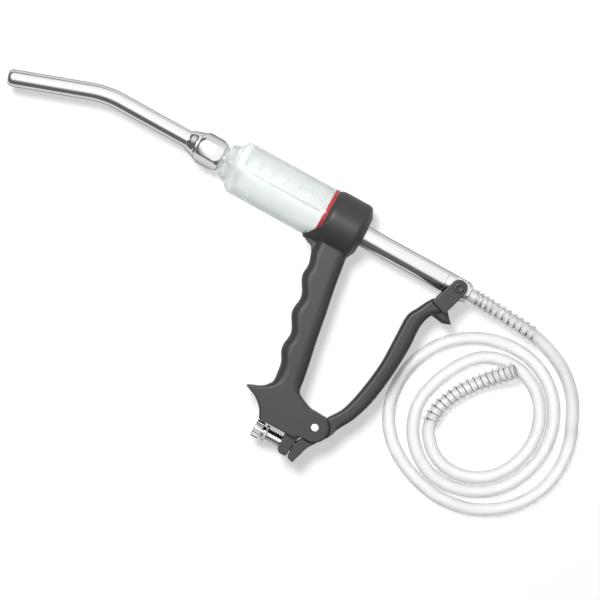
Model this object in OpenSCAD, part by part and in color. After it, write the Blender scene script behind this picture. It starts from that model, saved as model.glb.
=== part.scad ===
// Pistol-grip livestock drencher. Squeezing the lever drives a hollow piston rod forward in a clear
// barrel and sends a measured dose out of a bent nozzle. A hose feeds the rod from behind.
// Construction frame: X runs along the barrel from nozzle to hose, with 0 at the collar's front face.
// Y points away from the grip. Z is square to the tool's flat side, with 0 on the barrel's axis.
// The finished part lies on its side, so every node is moved by placed() to stand on Z = 0.

/* [Barrel] */
// Outside diameter of the barrel
barrel_d = 33; // [30:0.5:36]
// Wall of the barrel
barrel_wall = 3; // [2:0.25:3.5]
// Thickness of the barrel's front wall
barrel_end_wall = 2; // [1.5:0.25:4]
// Length of the tapered shoulder ahead of the straight barrel
shoulder_len = 9.6; // [8:0.2:14]
// Depth of the barrel in the collar
barrel_seat = 14; // [11:0.5:16]
// Diameter of the plain neck behind the coupling nut
neck_d = 15.2; // [14.4:0.2:17]
// Length of the neck that shows
neck_len = 2.4; // [1.5:0.1:5]
// Diameter of the spigot inside the coupling nut
spigot_d = 13.2; // [12:0.2:14]
// Length of the spigot inside the coupling nut
spigot_len = 8; // [6:0.5:9]
// Width of the red ring at the collar's mouth
ring_w = 2.4; // [1.5:0.1:4]
// Thickness of the red ring
ring_t = 0.45; // [0.3:0.05:0.6]
// Thickness of the gasket behind the barrel
gasket_t = 1.5; // [1:0.1:2.5]

/* [Nozzle] */
// Outside diameter of the nozzle tube
nozzle_d = 10.5; // [9:0.25:11.5]
// Bore of the nozzle tube
nozzle_bore = 7; // [5:0.25:7.5]
// Straight tube from the nut to the corner of the bend
nozzle_rear_len = 63.3; // [40:0.1:90]
// Tube from the corner of the bend to the tip
nozzle_front_len = 59.5; // [40:0.1:90]
// Angle of the bend towards the grip
nozzle_bend = 19.2; // [10:0.2:30]
// Radius of the bend at the middle of the tube
nozzle_bend_r = 60; // [40:1:80]
// Rounding of the tip's rim
tip_round = 1.5; // [0.5:0.1:1.7]
// Thickness of the flange that the nut holds
flange_t = 2; // [1.5:0.1:3]
// Thickness of the sealing washer
washer_t = 1.5; // [1:0.1:2]

/* [Coupling nut] */
// Size of the nut across its flats
nut_af = 17.6; // [17:0.1:22]
// Length of the nut's flats
nut_len = 16.2; // [15:0.1:20]
// Length of the nut's tapered nose
nose_len = 6.6; // [4:0.1:10]
// Diameter at the root of the nose
nose_d = 16; // [14:0.2:18]
// Chamfer on the corners of the nut
nut_chamfer = 1.4; // [0.8:0.1:2]

/* [Collar] */
// Wall of the collar round the barrel
collar_wall = 1.5; // [1.2:0.1:4]
// Length of the collar's straight outside
collar_len = 21.6; // [20:0.2:30]
// Rise of the domed rear of the collar
collar_dome = 3.4; // [2:0.2:6]
// Length of the pointed lip below the barrel
lip_len = 7.8; // [5:0.2:12]

/* [Grip] */
// Drop from the barrel's axis to the lever's pivot
grip_drop = 114.7; // [105:0.1:125]
// Distance of the pivot behind the collar's front face
pivot_back = 54.5; // [50:0.1:60]
// Thickness of the grip
grip_t = 20; // [18:0.5:24]
// Edge radius of the grip
grip_round = 6; // [3:0.5:7]
// Pitch of the finger grooves
finger_pitch = 22; // [19:0.5:25]
// Depth of the finger grooves
groove_depth = 2.8; // [1:0.1:4]
// Radius of the ears round the pivot
ear_r = 9; // [8:0.2:10]
// Diameter of the pivot pin
pin_d = 5.5; // [4.5:0.1:6.5]
// Thickness of the lever's tongue between the ears
tongue_t = 9; // [8:0.2:11]
// Width of the lug that carries the dose screw
lug_w = 6.8; // [5:0.2:9]

/* [Lever] */
// Distance of the trunnion behind the collar's front face with the lever open
rod_reach = 89.8; // [85:0.1:95]
// Travel of the lever in degrees
squeeze = 26; // [20:0.5:27]
// Thickness of the lever's arm
lever_t = 16; // [13:0.5:18]
// Edge radius of the lever's arm
lever_round = 5; // [3:0.5:5.5]
// Thickness of each fork ear
fork_ear_t = 3.6; // [3:0.1:5]
// Width of the fork ears
fork_w = 10.2; // [9:0.2:12]
// Diameter of the trunnion screws
trunnion_d = 4.4; // [3.6:0.1:5]

/* [Piston and rod] */
// Diameter of the piston rod
rod_d = 13; // [11:0.25:14]
// Bore of the piston rod
rod_bore = 5; // [4:0.1:5.4]
// Length of the piston
piston_len = 15.4; // [14.5:0.1:20]
// Length of the guide bush
bush_len = 6.8; // [5:0.1:8]
// Length of the hose barb
barb_len = 16; // [10:0.5:22]

/* [Dose screw] */
// Diameter of the dose screw
dose_d = 7; // [5:0.25:8]
// Drop from the pivot to the dose screw
dose_drop = 17.3; // [16:0.1:19]
// Free length of screw between the thumb head and the lug
dose_free = 13.1; // [10:0.1:18]
// Diameter of the thumb head
thumb_d = 11; // [9:0.25:14]
// Thickness of the thumb head
thumb_t = 5; // [3:0.25:7]
// Diameter of the lock nut
lock_d = 10; // [9:0.25:13]
// Thickness of the lock nut
lock_t = 1.8; // [1.4:0.1:3]

/* [Hose] */
// Outside diameter of the hose
hose_d = 8; // [7:0.25:8.25]
// Wire of the springs on the hose
guard_wire = 1; // [0.8:0.05:1.1]
// Curls of the spring at the rod
rod_guard_curls = 11; // [8:1:12]
// Curls of the spring at the free end
end_guard_curls = 16; // [10:1:17]

/* [Hidden] */
$fn = 48;

// Clearances and the overrun of every cut
overrun = 1;
fit = 0.05;
snug = 0.1;
seat_gap = 0.25;
side_gap = 0.3;
free_gap = 0.4;
swing_gap = 0.6;

// Collar and what it holds
barrel_r = barrel_d / 2;
collar_r = barrel_r + collar_wall;
bore_r = barrel_r - barrel_wall;
rod_r = rod_d / 2;
collar_back = collar_len + collar_dome;
gasket_back = barrel_seat + gasket_t;
collar_chamfer_r = 1.1;
collar_chamfer_len = 3;
lip_rise_share = 0.38;
// Web under the lip, seen from the side: shares of lip_len and of collar_r
web_shares = [
    [-1, -0.935], [-0.46, -1.05], [0.05, -1.133], [0.31, -1.36], [1.02, -1.44], [1.02, -0.7], [-1, -0.7]
];
web_half = 7;
dome_flat = 5;
dome_flat_r = rod_r + dome_flat;
bush_wall = 2.5;
bush_r = rod_r + bush_wall;
wiper_wall = 2;
wiper_r = rod_r + wiper_wall;
wiper_len = 1.9;
bush_back = gasket_back + bush_len;
rod_hole_r = rod_r + free_gap;
lip_rise = collar_r * lip_rise_share;

// Lever geometry: pivot P, trunnion Q and the arm between them
pivot = [pivot_back, -grip_drop];
trunnion = [rod_reach, 0];
arm = norm(trunnion - pivot);
rest_angle = atan((rod_reach - pivot_back) / grip_drop);
stroke = arm * (sin(rest_angle) - sin(rest_angle - squeeze));

// Stations along the barrel, towards the nozzle
piston_inset = 1;
piston_rear = barrel_seat - piston_inset;
piston_front = piston_rear - piston_len;
stroke_room = 1.7;
bore_front = piston_front - stroke - stroke_room;
shoulder_rear = bore_front - barrel_end_wall;
neck_rear = shoulder_rear - shoulder_len;
nut_rear = neck_rear - neck_len;
nut_front = nut_rear - nut_len;
spigot_front = nut_rear - spigot_len;
washer_front = spigot_front - washer_t;
flange_front = washer_front - flange_t;
bend_x = nut_front - nozzle_rear_len;
nozzle_r = nozzle_d / 2;
spigot_r = spigot_d / 2;
flange_r = spigot_r - 2 * snug;
bend_step = 0.02;
bend_lap = 0.3;
tip_step_share = 0.3;

// Shoulder of the barrel: shares of its length and of the barrel's radius
shoulder_shares = [[0, 1], [0.19, 0.95], [0.44, 0.77], [1, 0.61]];

// Valves
valve_hole_r = rod_bore / 2;
ball_lap = 0.6;
ball_r = valve_hole_r + ball_lap;
ball_stand_off = sqrt(ball_r * ball_r - valve_hole_r * valve_hole_r) + seat_gap;
chamber_r = ball_r + free_gap;
valve_wire = 0.6;
valve_spring_inset = 0.7;
valve_spring_r = ball_r - valve_spring_inset;
spring_ease_share = 0.5;
seat_depth = 4;
outlet_seat = bore_front - seat_depth;
outlet_ball_x = outlet_seat - ball_stand_off;
piston_socket = 3.5;
rod_front = piston_rear - piston_socket;
inlet_ball_x = rod_front - ball_stand_off;
cage_t = 2;
cage_lap = 1.4;
cage_r = chamber_r + cage_lap;
cage_rear = piston_front + cage_t;
seal_w = 2.6;
seal_deep = 2.4;
seal_shares = [0.22, 0.62];
seal_places = [for (s = seal_shares) piston_front + s * piston_len];

// Ears, tongue and return spring at the pivot
pin_r = pin_d / 2;
grip_half = grip_t / 2;
lever_half = lever_t / 2;
tongue_half = tongue_t / 2;
slot_half = tongue_half + side_gap;
slot_r = ear_r + swing_gap + side_gap;
hub_inset = 0.5;
hub_r = ear_r - hub_inset;
return_wire = 1.2;
return_curls = 3;
return_gap = 0.5;
return_pitch = return_wire + return_gap;
return_clear = 1.6;
return_r = pin_r + return_clear;
pocket_half = return_curls * return_pitch / 2 + return_wire;
pocket_r = return_r + return_wire + free_gap;
pocket_leg = sqrt(pocket_r * pocket_r - pow(return_r + return_wire / 2, 2)) - side_gap;
return_leg = sqrt(slot_r * slot_r - return_r * return_r) - return_wire;

// Stop between the lever's tail and the lug, and the dose screw that sets it
stop_back = 5.8;
stop_gap = 0.9;
stop_x = pivot_back - stop_back;
lug_rear = stop_x - stop_gap;
lug_front = lug_rear - lug_w;
lug_half = grip_half - overrun;
lug_below = 6;
lug_depth = dose_drop + lug_below;
knob_clear = 0.5;
base_depth = dose_drop - thumb_d / 2 - knob_clear;
dose_y = -grip_drop - dose_drop;
dose_tip = stop_x - side_gap;
dose_r = dose_d / 2;
lock_back = 11.5;
lock_place = lug_front - lock_back;
thumb_rear = lug_front - dose_free;
thumb_edge = 0.5;
neck_share = 0.6;
dose_neck_r = dose_r * neck_share;
dose_point_share = 0.4;

// Fork and trunnion
fork_half = rod_r + free_gap;
fork_out = fork_half + fork_ear_t;
fork_r = fork_w / 2;
crotch = 12.6;
yoke = 4.4;
trunnion_r = trunnion_d / 2;
trunnion_reach = 3.3;
slot_play = 0.7;
trunnion_slot_r = trunnion_r + slot_play;
slot_floor = trunnion_reach - side_gap;
head_rim = 0.9;
trunnion_head_r = trunnion_r + head_rim;
trunnion_head_t = 0.9;
rod_end_ahead = 8.8;
rod_end_behind = 5.9;
rod_end_front = rod_reach - rod_end_ahead;
rod_end_rear = rod_reach + rod_end_behind;
spigot_in_rod = 5;
spigot_wall = 1.5;
spigot_in_rod_r = valve_hole_r + spigot_wall;
shoulder_step = 0.9;
shoulder_r = rod_r - shoulder_step;
shoulder_back = 1.5;
hose_wall = 1.4;
barb_wall = 0.9;
barb_r = hose_d / 2 - hose_wall;
barb_ridge = 0.35;
barb_pitch = 4;

// Side view of the grip: shares of pivot_back and of grip_drop, chosen by hand
front_shares = [[0.02, 0.09], [0.04, 0.211], [0.354, 0.85]];
prong_shares = [
    [0.354, 0.85], [0.36, 0.875], [0.35, 0.903], [0.28, 0.941], [0.18, 0.963], [0.122, 0.977],
    [0.19, 0.99], [0.275, 1.01], [0.36, 1.047], [0.4, 1.08], [0.415, 1.0985]
];
rear_shares = [
    [0.385, 0.09], [0.42, 0.19], [0.459, 0.318], [0.516, 0.464], [0.56, 0.59], [0.617, 0.725],
    [0.652, 0.82], [0.66, 0.858], [0.69, 0.885], [0.76, 0.904], [0.877, 0.926]
];
// Rows of the grip's lower end and the edge radius there: shares of grip_drop and of grip_round
foot_row_shares = [
    0.862, 0.875, 0.888, 0.898, 0.908, 0.916, 0.923, 0.93, 0.938, 0.946, 0.954, 0.962, 0.97, 0.977,
    0.984, 0.992, 1.002, 1.012, 1.024, 1.036, 1.048, 1.06, 1.07, 1.078, 1.0785, 1.088, 1.098
];
front_round_shares = [
    [0, 0.9], [0.85, 1], [0.903, 0.6], [0.941, 0.3], [0.977, 0.1], [1.01, 0.25], [1.098, 0.3]
];
rear_round_shares = [[0, 0.9], [0.82, 1], [0.885, 0.6], [0.92, 0.2], [1.098, 0.2]];
base_over = prong_shares[len(prong_shares) - 1].y - 1;
crest_share = 0.336;
groove_rows = 34;
crest_fade = 6;
corner_steps = 4;

// Lever's arm: rows of shares of the arm along the line from pivot to trunnion, then behind that
// line on the finger side and on the palm side, then edge radii as shares of lever_round
arm_shares = [
    [0.875, -0.05, 0.044, 0.3, 0.4], [0.84, -0.06, 0.018, 0.4, 0.5], [0.79, -0.069, 0.001, 0.5, 0.8],
    [0.72, -0.079, 0.008, 0.5, 0.9], [0.615, -0.047, 0.045, 0.5, 0.9], [0.46, 0.002, 0.084, 0.5, 0.9],
    [0.3, 0.029, 0.109, 0.5, 0.8], [0.175, 0.036, 0.108, 0.4, 0.7], [0.1, 0.018, 0.093, 0.3, 0.6],
    [0.06, 0.005, 0.086, 0.3, 0.5]
];
arm_steps = 4;
spur_shares = [[-0.02, 0.8], [0.022, 0.812], [0.07, 0.819], [0.106, 0.845], [0.041, 0.882], [-0.02, 0.875]];
spur_half = 6;
// Lever's tail below the pivot: shares of dose_drop behind the stop and below the pivot, then the
// back of the hub as shares of the arm in the lever's own frame
tail_shares = [[0.239, 1.422], [0.34, 1.09], [0.476, 0.697]];
hub_back_shares = [[0.081, 0.008], [0.086, 0.06], [0.07, 0.085]];
tail_toe = 0.9;
tail_lean = 3.2;
tail_steps = 3;

// Hose route behind the rod: points chosen by hand, in the construction frame
hose_r = hose_d / 2;
floor_z = -collar_r;
lead_points = [
    [110, -0.5, 0], [126, -1.5, -0.5], [143, -3, -2.5],
    [159, -7.3, -6], [173.5, -15.3, -10], [184.7, -27.3, -13]
];
lead_gap = 1.2;
lead_steps = 3;
lead_sides = 10;

// Flat coil: its radius at every eighth of a turn as shares of coil_r, from the outside in
coil_centre = [144, -63];
coil_start = 24;
coil_r = 52.5;
coil_radius_shares = [
    1, 1.013, 1.008, 1.024, 1.114, 1.06, 0.952, 0.872, 0.779, 0.747, 0.8, 0.861, 0.819, 0.722, 0.752, 0.702,
    0.616, 0.583, 0.638, 0.69, 0.643
];
coil_radius_step = 45;
coil_sweep = 888;
rings_per_loop = 24;
coil_sides = 8;
tail_rise_sweep = 90;

// Free end of the hose: points chosen by hand; its tip lies on the coil
tail_points = [
    [114.7, -72.2, -12.7], [117.8, -61.5, -12.7], [123.2, -51.6, -12.6], [129.9, -42.5, -11.4],
    [137.2, -34.2, -8.6], [144.1, -26.7, -4.2]
];
tail_steps_each = 3;

// Springs on the hose
guard_gap = 0.3;
guard_r = hose_r + guard_gap + guard_wire / 2;
guard_out = guard_r + guard_wire / 2;
rod_guard_from = 0.25;
rod_guard_to = 3;
rings_per_curl = 8;
wire_sides = 6;
nudge = 0.01;
guard_steps = 12;
lead_route = concat([[rod_end_rear + shoulder_back, 0, 0]], lead_points, [lead_end()]);

// Where the part's own frame sits in the construction frame
tip_x = bend_x - nozzle_front_len * cos(nozzle_bend);
part_mid_x = (tip_x + rod_end_rear + shoulder_back + barb_len) / 2;
tail_low_y = -grip_drop - tail_shares[0].y * dose_drop;
part_mid_y = (tail_low_y + collar_r) / 2;

// Small helpers
function unit(v) = v / norm(v);
function blend(t) = t <= 0 ? 0 : t >= 1 ? 1 : t * t * (3 - 2 * t);
function polar(r, a) = [r * cos(a), r * sin(a)];

// A smooth curve through hand-placed points
function curve_at(p, i, t) = let(
    b = p[i],
    c = p[i + 1],
    a = i > 0 ? p[i - 1] : 2 * b - c,
    d = i + 2 < len(p) ? p[i + 2] : 2 * c - b
) (2 * b + (c - a) * t + (2 * a - 5 * b + 4 * c - d) * t * t + (3 * b - a - 3 * c + d) * t * t * t) / 2;
function curve(p, steps) = [
    for (i = [0 : len(p) - 2], j = [0 : steps - 1]) curve_at(p, i, j / steps),
    p[len(p) - 1]
];
function curve_point(p, t) = let(i = min(floor(t), len(p) - 2)) curve_at(p, i, t - i);

// Faces of a stack of rings, wound so that they point outwards
function ring_faces(rings, n) = concat(
    [[for (j = [0 : n - 1]) j]],
    [[for (j = [n - 1 : -1 : 0]) (rings - 1) * n + j]],
    [
        for (k = [0 : rings - 2], j = [0 : n - 1], half = [0, 1])
            let(a = k * n + j, b = k * n + (j + 1) % n)
                half == 0 ? [a, a + n, b] : [b, a + n, b + n]
    ]
);

// A form drawn through rounded-rectangle sections. Each row holds y, the low and high x, and the
// edge radius on each of those two sides; rows run towards -Y.
module drawn_through(rows, half) {
    turns = [0 : corner_steps];
    points = [
        for (row = rows, corner = [0 : 3], k = turns)
            let(
                high = corner == 0 || corner == 3,
                up = corner < 2 ? 1 : -1,
                r = high ? row[4] : row[3],
                x = high ? row[2] - r : row[1] + r,
                a = 90 * (corner + k / corner_steps)
            ) [x + r * cos(a), row[0], up * (half - r) + r * sin(a)]
    ];
    polyhedron(points, ring_faces(len(rows), 4 * (corner_steps + 1)));
}

// A round tube of the given radius along a path; each path point has its own sideways direction
module swept(path, sideways, r, sides) {
    n = len(path);
    points = [
        for (i = [0 : n - 1])
            let(
                t = unit(path[min(i + 1, n - 1)] - path[max(i - 1, 0)]),
                u = unit(sideways[i] - (sideways[i] * t) * t),
                v = cross(t, u)
            )
            for (j = [0 : sides - 1])
                path[i] + r * (cos(360 * j / sides) * u + sin(360 * j / sides) * v)
    ];
    polyhedron(points, ring_faces(n, sides));
}

// Least distance between points of a path that lie more than the given count apart
function least_gap(path, apart) = min([
    for (i = [0 : len(path) - 1 - apart], j = [i + apart : len(path) - 1]) norm(path[i] - path[j])
]);

// A turned piece on the barrel's axis; each point is [radius, x]
module turned(points) rotate([0, 90, 0]) rotate_extrude() polygon(points);
module disc_x(r, from, to) translate([from, 0, 0]) rotate([0, 90, 0]) cylinder(r = r, h = to - from);
module ring_x(inner, outer, from, to) turned([[inner, from], [outer, from], [outer, to], [inner, to]]);
module pin_z(place, r, half) translate([place.x, place.y, -half]) cylinder(r = r, h = 2 * half);

module placed() translate([-part_mid_x, -part_mid_y, collar_r]) children();

// Rows of the grip: its straight part with the finger grooves, then its foot with prong and ears
// Below the pivot the shares reach to the base, which clears the thumb head
function drop_at(share) = share <= 1 ? share * grip_drop : grip_drop + (share - 1) / base_over * base_depth;
function placed_shares(list) = [for (s = list) [-drop_at(s.y), s.x * pivot_back]];
function scaled_pairs(list) = [for (s = list) [-drop_at(s.x), s.y * grip_round]];
rear_table = curve(placed_shares(rear_shares), 4);
front_table = concat(placed_shares(front_shares), curve(placed_shares(prong_shares), 3));
front_rounds = scaled_pairs(front_round_shares);
rear_rounds = scaled_pairs(rear_round_shares);
function groove(y) = let(
    top = -front_shares[1].y * grip_drop,
    low = -front_shares[2].y * grip_drop,
    t = (y - top) / (low - top)
) groove_depth / 2 * max(0, min(1, crest_fade * t, crest_fade * (1 - t)))
    * cos(360 * (y + crest_share * grip_drop) / finger_pitch);
function ear_x(y) = let(d = y - pivot.y) abs(d) < ear_r ? pivot.x + sqrt(ear_r * ear_r - d * d) : lug_rear;
function rear_x(y) = y < rear_table[len(rear_table) - 1][0] ? ear_x(y) : lookup(y, rear_table);
function grip_row(y) = [
    y, lookup(y, front_table) - groove(y), rear_x(y), lookup(y, front_rounds), lookup(y, rear_rounds)
];
function grip_rows() = concat(
    [
        for (i = [0 : groove_rows])
            let(s = i / groove_rows)
                grip_row(-grip_drop * (rear_shares[0].y * (1 - s) + front_shares[2].y * s))
    ],
    [for (s = foot_row_shares) grip_row(-drop_at(s))]
);
module lug() {
    toe = 2;
    translate([0, 0, -lug_half]) linear_extrude(2 * lug_half) polygon([
        [lug_front, -grip_drop - base_depth + toe], [lug_front, -grip_drop - lug_depth + toe],
        [lug_front + toe, -grip_drop - lug_depth], [lug_rear - toe / 2, -grip_drop - lug_depth],
        [lug_rear, -grip_drop - lug_depth + toe / 2], [lug_rear, dose_y + toe],
        [pivot.x - ear_r / 2, pivot.y - ear_r + toe / 2], [pivot.x - ear_r, pivot.y - ear_r / 2]
    ]);
}

// Lever's frame: Y runs from the pivot to the trunnion, X to the palm side
function lever_xy(s) = pivot + arm * [
    s.y * sin(rest_angle) + s.x * cos(rest_angle),
    s.y * cos(rest_angle) - s.x * sin(rest_angle)
];
function arm_rows() = [
    for (s = curve(arm_shares, arm_steps))
        [s[0] * arm, s[1] * arm, s[2] * arm, s[3] * lever_round, s[4] * lever_round]
];
module at_pivot() translate([pivot.x, pivot.y, 0]) children();
module along_lever() at_pivot() rotate([0, 0, -rest_angle]) children();
module tail() {
    low_back = [for (s = tail_shares) [stop_x + s.x * dose_drop, pivot.y - s.y * dose_drop]];
    back = curve(concat(low_back, [for (s = hub_back_shares) lever_xy(s)]), tail_steps);
    translate([0, 0, -lever_half]) linear_extrude(2 * lever_half) polygon(concat(
        [[stop_x, tail_low_y + 2 * tail_toe], [stop_x + tail_toe, tail_low_y + tail_toe]],
        back,
        [for (a = [100 : 40 : 220]) pivot + polar(hub_r, a)],
        [[stop_x + tail_lean, pivot.y - hub_r], [stop_x, dose_y + dose_r]]
    ));
}
module spur() {
    along_lever() translate([0, 0, -spur_half]) linear_extrude(2 * spur_half) polygon(arm * spur_shares);
}

// The casting: collar, saddle lip, grooved grip, prong, lug and pivot ears
module handle() {
    color("#262628") placed() difference() {
        union() {
            turned([
                [bore_r, 0], [collar_r - collar_chamfer_r, 0], [collar_r, collar_chamfer_len],
                [collar_r, collar_len], [dome_flat_r, collar_back], [0, collar_back],
                [0, gasket_back], [bore_r, gasket_back]
            ]);
            saddle_lip();
            lip_web();
            difference() {
                drawn_through(grip_rows(), grip_half);
                disc_x(collar_r - overrun, -collar_r, collar_back + collar_r);
            }
            lug();
        }
        disc_x(barrel_r + snug, -overrun, gasket_back);
        disc_x(barrel_r + ring_t + snug, -lip_len - 2 * overrun, 0);
        disc_x(bush_r + fit, gasket_back - overrun, bush_back);
        disc_x(wiper_r + fit, collar_back - wiper_len, collar_back + overrun);
        disc_x(rod_hole_r, bush_back - overrun, collar_back);
        pin_z(pivot, pin_r + fit, grip_half + overrun);
        pin_z(pivot, slot_r, slot_half);
        translate([0, dose_y, 0]) disc_x(dose_r + fit, lug_front - overrun, lug_rear + overrun);
    }
}
module lip_web() {
    translate([0, 0, -web_half]) linear_extrude(2 * web_half)
        polygon([for (s = web_shares) [s.x * lip_len, s.y * collar_r]]);
}
module saddle_lip() {
    lip_slope = atan2(collar_r - lip_rise, lip_len);
    difference() {
        ring_x(barrel_r, collar_r - snug, -lip_len, overrun);
        translate([0, -lip_rise, 0])
            rotate([0, 0, 180 - lip_slope])
                translate([-2 * collar_r, -4 * collar_r, -2 * collar_r])
                    cube(4 * collar_r);
    }
}

// Clear barrel with its tapered shoulder, neck and spigot
module barrel() {
    outside = [for (s = shoulder_shares) [s.y * barrel_r, shoulder_rear - s.x * shoulder_len]];
    color("#dfeae6", 0.6) placed() difference() {
        turned(concat(
            [[0, barrel_seat], [barrel_r, barrel_seat]],
            outside,
            [
                [neck_d / 2, neck_rear], [neck_d / 2, nut_rear], [spigot_r, nut_rear],
                [spigot_r, spigot_front], [0, spigot_front]
            ]
        ));
        disc_x(bore_r, bore_front, barrel_seat + overrun);
        disc_x(valve_hole_r, outlet_seat - overrun, bore_front + overrun);
        disc_x(chamber_r, spigot_front - overrun, outlet_seat);
    }
}
module barrel_ring() color("#b3202a") placed() ring_x(barrel_r + fit, barrel_r + ring_t, -ring_w, 0);
module barrel_gasket() {
    color("#1c1c1c") placed() ring_x(bore_r + snug, barrel_r - snug, barrel_seat, gasket_back);
}

// Bent tube with a flange at its rear end
module nozzle() {
    tangent = nozzle_bend_r * tan(nozzle_bend / 2);
    color("#d7dade") placed() difference() {
        union() {
            disc_x(flange_r, flange_front, washer_front);
            disc_x(nozzle_r, bend_x + tangent, washer_front);
            at_bend(tangent) nozzle_arc(nozzle_r + bend_step);
            along_tip() turned([
                [0, -tangent], [nozzle_r, -tangent], [nozzle_r, tip_round - nozzle_front_len],
                [nozzle_r - tip_round * tip_step_share, tip_round * tip_step_share - nozzle_front_len],
                [nozzle_r - tip_round, -nozzle_front_len], [0, -nozzle_front_len]
            ]);
        }
        disc_x(nozzle_bore / 2, bend_x + tangent, washer_front + overrun);
        at_bend(tangent) nozzle_arc(nozzle_bore / 2 + bend_step);
        along_tip() disc_x(nozzle_bore / 2, -nozzle_front_len - overrun, -tangent);
    }
}
module at_bend(tangent) translate([bend_x + tangent, -nozzle_bend_r, 0]) children();
module nozzle_arc(r) {
    rotate([0, 0, 90 - bend_lap])
        rotate_extrude(angle = nozzle_bend + 2 * bend_lap) translate([nozzle_bend_r, 0]) circle(r = r);
}
module along_tip() translate([bend_x, 0, 0]) rotate([0, 0, nozzle_bend]) children();
module nozzle_washer() {
    color("#e8e4d8") placed() ring_x(valve_spring_r - valve_wire, flange_r, washer_front, spigot_front);
}

// Union nut with six flats and a tapered nose
module coupling_nut() {
    corner_r = nut_af / 2 / cos(30);
    nose_front = nut_front - nose_len;
    color("#d7dade") placed() difference() {
        union() {
            intersection() {
                translate([nut_front, 0, 0])
                    rotate([0, 90, 0]) rotate([0, 0, 30]) cylinder(r = corner_r, h = nut_len, $fn = 6);
                turned([
                    [0, nut_front],
                    [corner_r - nut_chamfer, nut_front], [corner_r, nut_front + nut_chamfer],
                    [corner_r, nut_rear - nut_chamfer], [corner_r - nut_chamfer, nut_rear],
                    [0, nut_rear]
                ]);
            }
            turned([
                [0, nose_front], [nozzle_r + side_gap, nose_front],
                [nose_d / 2, nut_front], [nose_d / 2, nut_front + fit], [0, nut_front + fit]
            ]);
        }
        disc_x(nozzle_r + fit, nose_front - overrun, nut_rear);
        disc_x(spigot_r + snug, flange_front, nut_rear + overrun);
    }
}

// Valve balls
module outlet_ball() color("#c9ccd0") placed() translate([outlet_ball_x, 0, 0]) sphere(r = ball_r);
module inlet_ball() color("#c9ccd0") placed() translate([inlet_ball_x, 0, 0]) sphere(r = ball_r);

// Compression springs of the valves: one unbroken wire, with flat turns at both ends
function spring_path(r, from, to, curls) = [
    for (i = [0 : curls * rings_per_curl])
        let(
            a = 360 * i / rings_per_curl,
            s = i / (curls * rings_per_curl),
            t = spring_ease_share * blend(s) + (1 - spring_ease_share) * s
        ) [from + (to - from) * t, r * cos(a), r * sin(a)]
];
module valve_spring(from, to, curls) {
    path = spring_path(valve_spring_r, from - valve_wire / 2, to + valve_wire / 2, curls);
    swept(path, [for (p = path) [0, p.y, p.z]], valve_wire / 2, wire_sides);
    echo(least_gap_of_valve_spring = least_gap(path, rings_per_curl - 2) - valve_wire);
}
module outlet_spring() {
    color("#aeb2b6") placed() valve_spring(outlet_ball_x - ball_r - seat_gap, spigot_front + seat_gap, 6);
}
module inlet_spring() {
    color("#aeb2b6") placed() valve_spring(inlet_ball_x - ball_r - seat_gap, cage_rear + seat_gap, 3);
}

// Guide of the rod in the collar's rear wall
module rod_bush() color("#e9e9e4") placed() ring_x(rod_r + fit, bush_r, gasket_back, bush_back);
module rod_wiper() {
    color("#161616") placed() ring_x(rod_r + fit, wiper_r, collar_back - wiper_len, collar_back - snug);
}

// Pivot pin with a low dome on each end
module pivot_pin() {
    dome = 0.6;
    reach = grip_half + dome;
    color("#eeeeee") placed() at_pivot() rotate_extrude() polygon([
        [0, -reach], [pin_r - dome, -reach], [pin_r, -grip_half], [pin_r, grip_half],
        [pin_r - dome, reach], [0, reach]
    ]);
}

// Torsion spring round the pin: a leg on the handle, the curls, a leg in the lever
function return_path() = let(
    curl_rings = return_curls * rings_per_curl,
    low = -return_pitch * return_curls / 2,
    first = [for (s = [1, 0.5]) [-return_leg * s, -return_r, low]],
    curls = [
        for (i = [0 : curl_rings])
            let(a = 360 * i / rings_per_curl)
                concat(polar(return_r, a - 90), low + return_pitch * i / rings_per_curl)
    ],
    last = [for (s = [0.5, 1]) [pocket_leg * s, -return_r, -low]]
) concat(first, curls, last);
module return_spring() {
    path = return_path();
    color("#9a9da1") placed() at_pivot()
        swept(path, [for (p = path) [0, 0, 1]], return_wire / 2, wire_sides);
    echo(least_gap_of_return_spring = least_gap(path, rings_per_curl - 2) - return_wire);
}

// Curved lever with fork, spur and tail; its hub is thinned to a tongue between the handle's ears
module lever() {
    color("#2b2b2d") placed() difference() {
        union() {
            along_lever() drawn_through(arm_rows(), lever_half);
            tail();
            spur();
            along_lever() {
                translate([-fork_r, arm - crotch - yoke, -fork_out])
                    cube([fork_w, crotch + yoke, 2 * fork_out]);
                translate([0, arm, -fork_out]) cylinder(r = fork_r, h = 2 * fork_out);
            }
        }
        along_lever() translate([-fork_w, arm - crotch, -fork_half])
            cube([2 * fork_w, 2 * crotch, 2 * fork_half]);
        pin_z(trunnion, trunnion_r + fit, fork_out + overrun);
        pin_z(pivot, pin_r + fit, lever_half + overrun);
        for (side = [0, 1]) mirror([0, 0, side])
            translate([pivot.x, pivot.y, tongue_half]) cylinder(r = ear_r + swing_gap, h = lever_half);
        pin_z(pivot, pocket_r, pocket_half);
        at_pivot() rotate([0, 0, 180]) translate([0, -pocket_r / 2, -pocket_half])
            cube([slot_r, pocket_r * 1.5, 2 * pocket_half]);
    }
}
module trunnion_screws() {
    color("#3a3a3c") placed() translate([trunnion.x, trunnion.y, 0])
        for (side = [0, 1]) mirror([0, 0, side]) {
            translate([0, 0, trunnion_reach]) cylinder(r = trunnion_r, h = fork_out - trunnion_reach);
            translate([0, 0, fork_out]) cylinder(r = trunnion_head_r, h = trunnion_head_t);
        }
}

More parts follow.
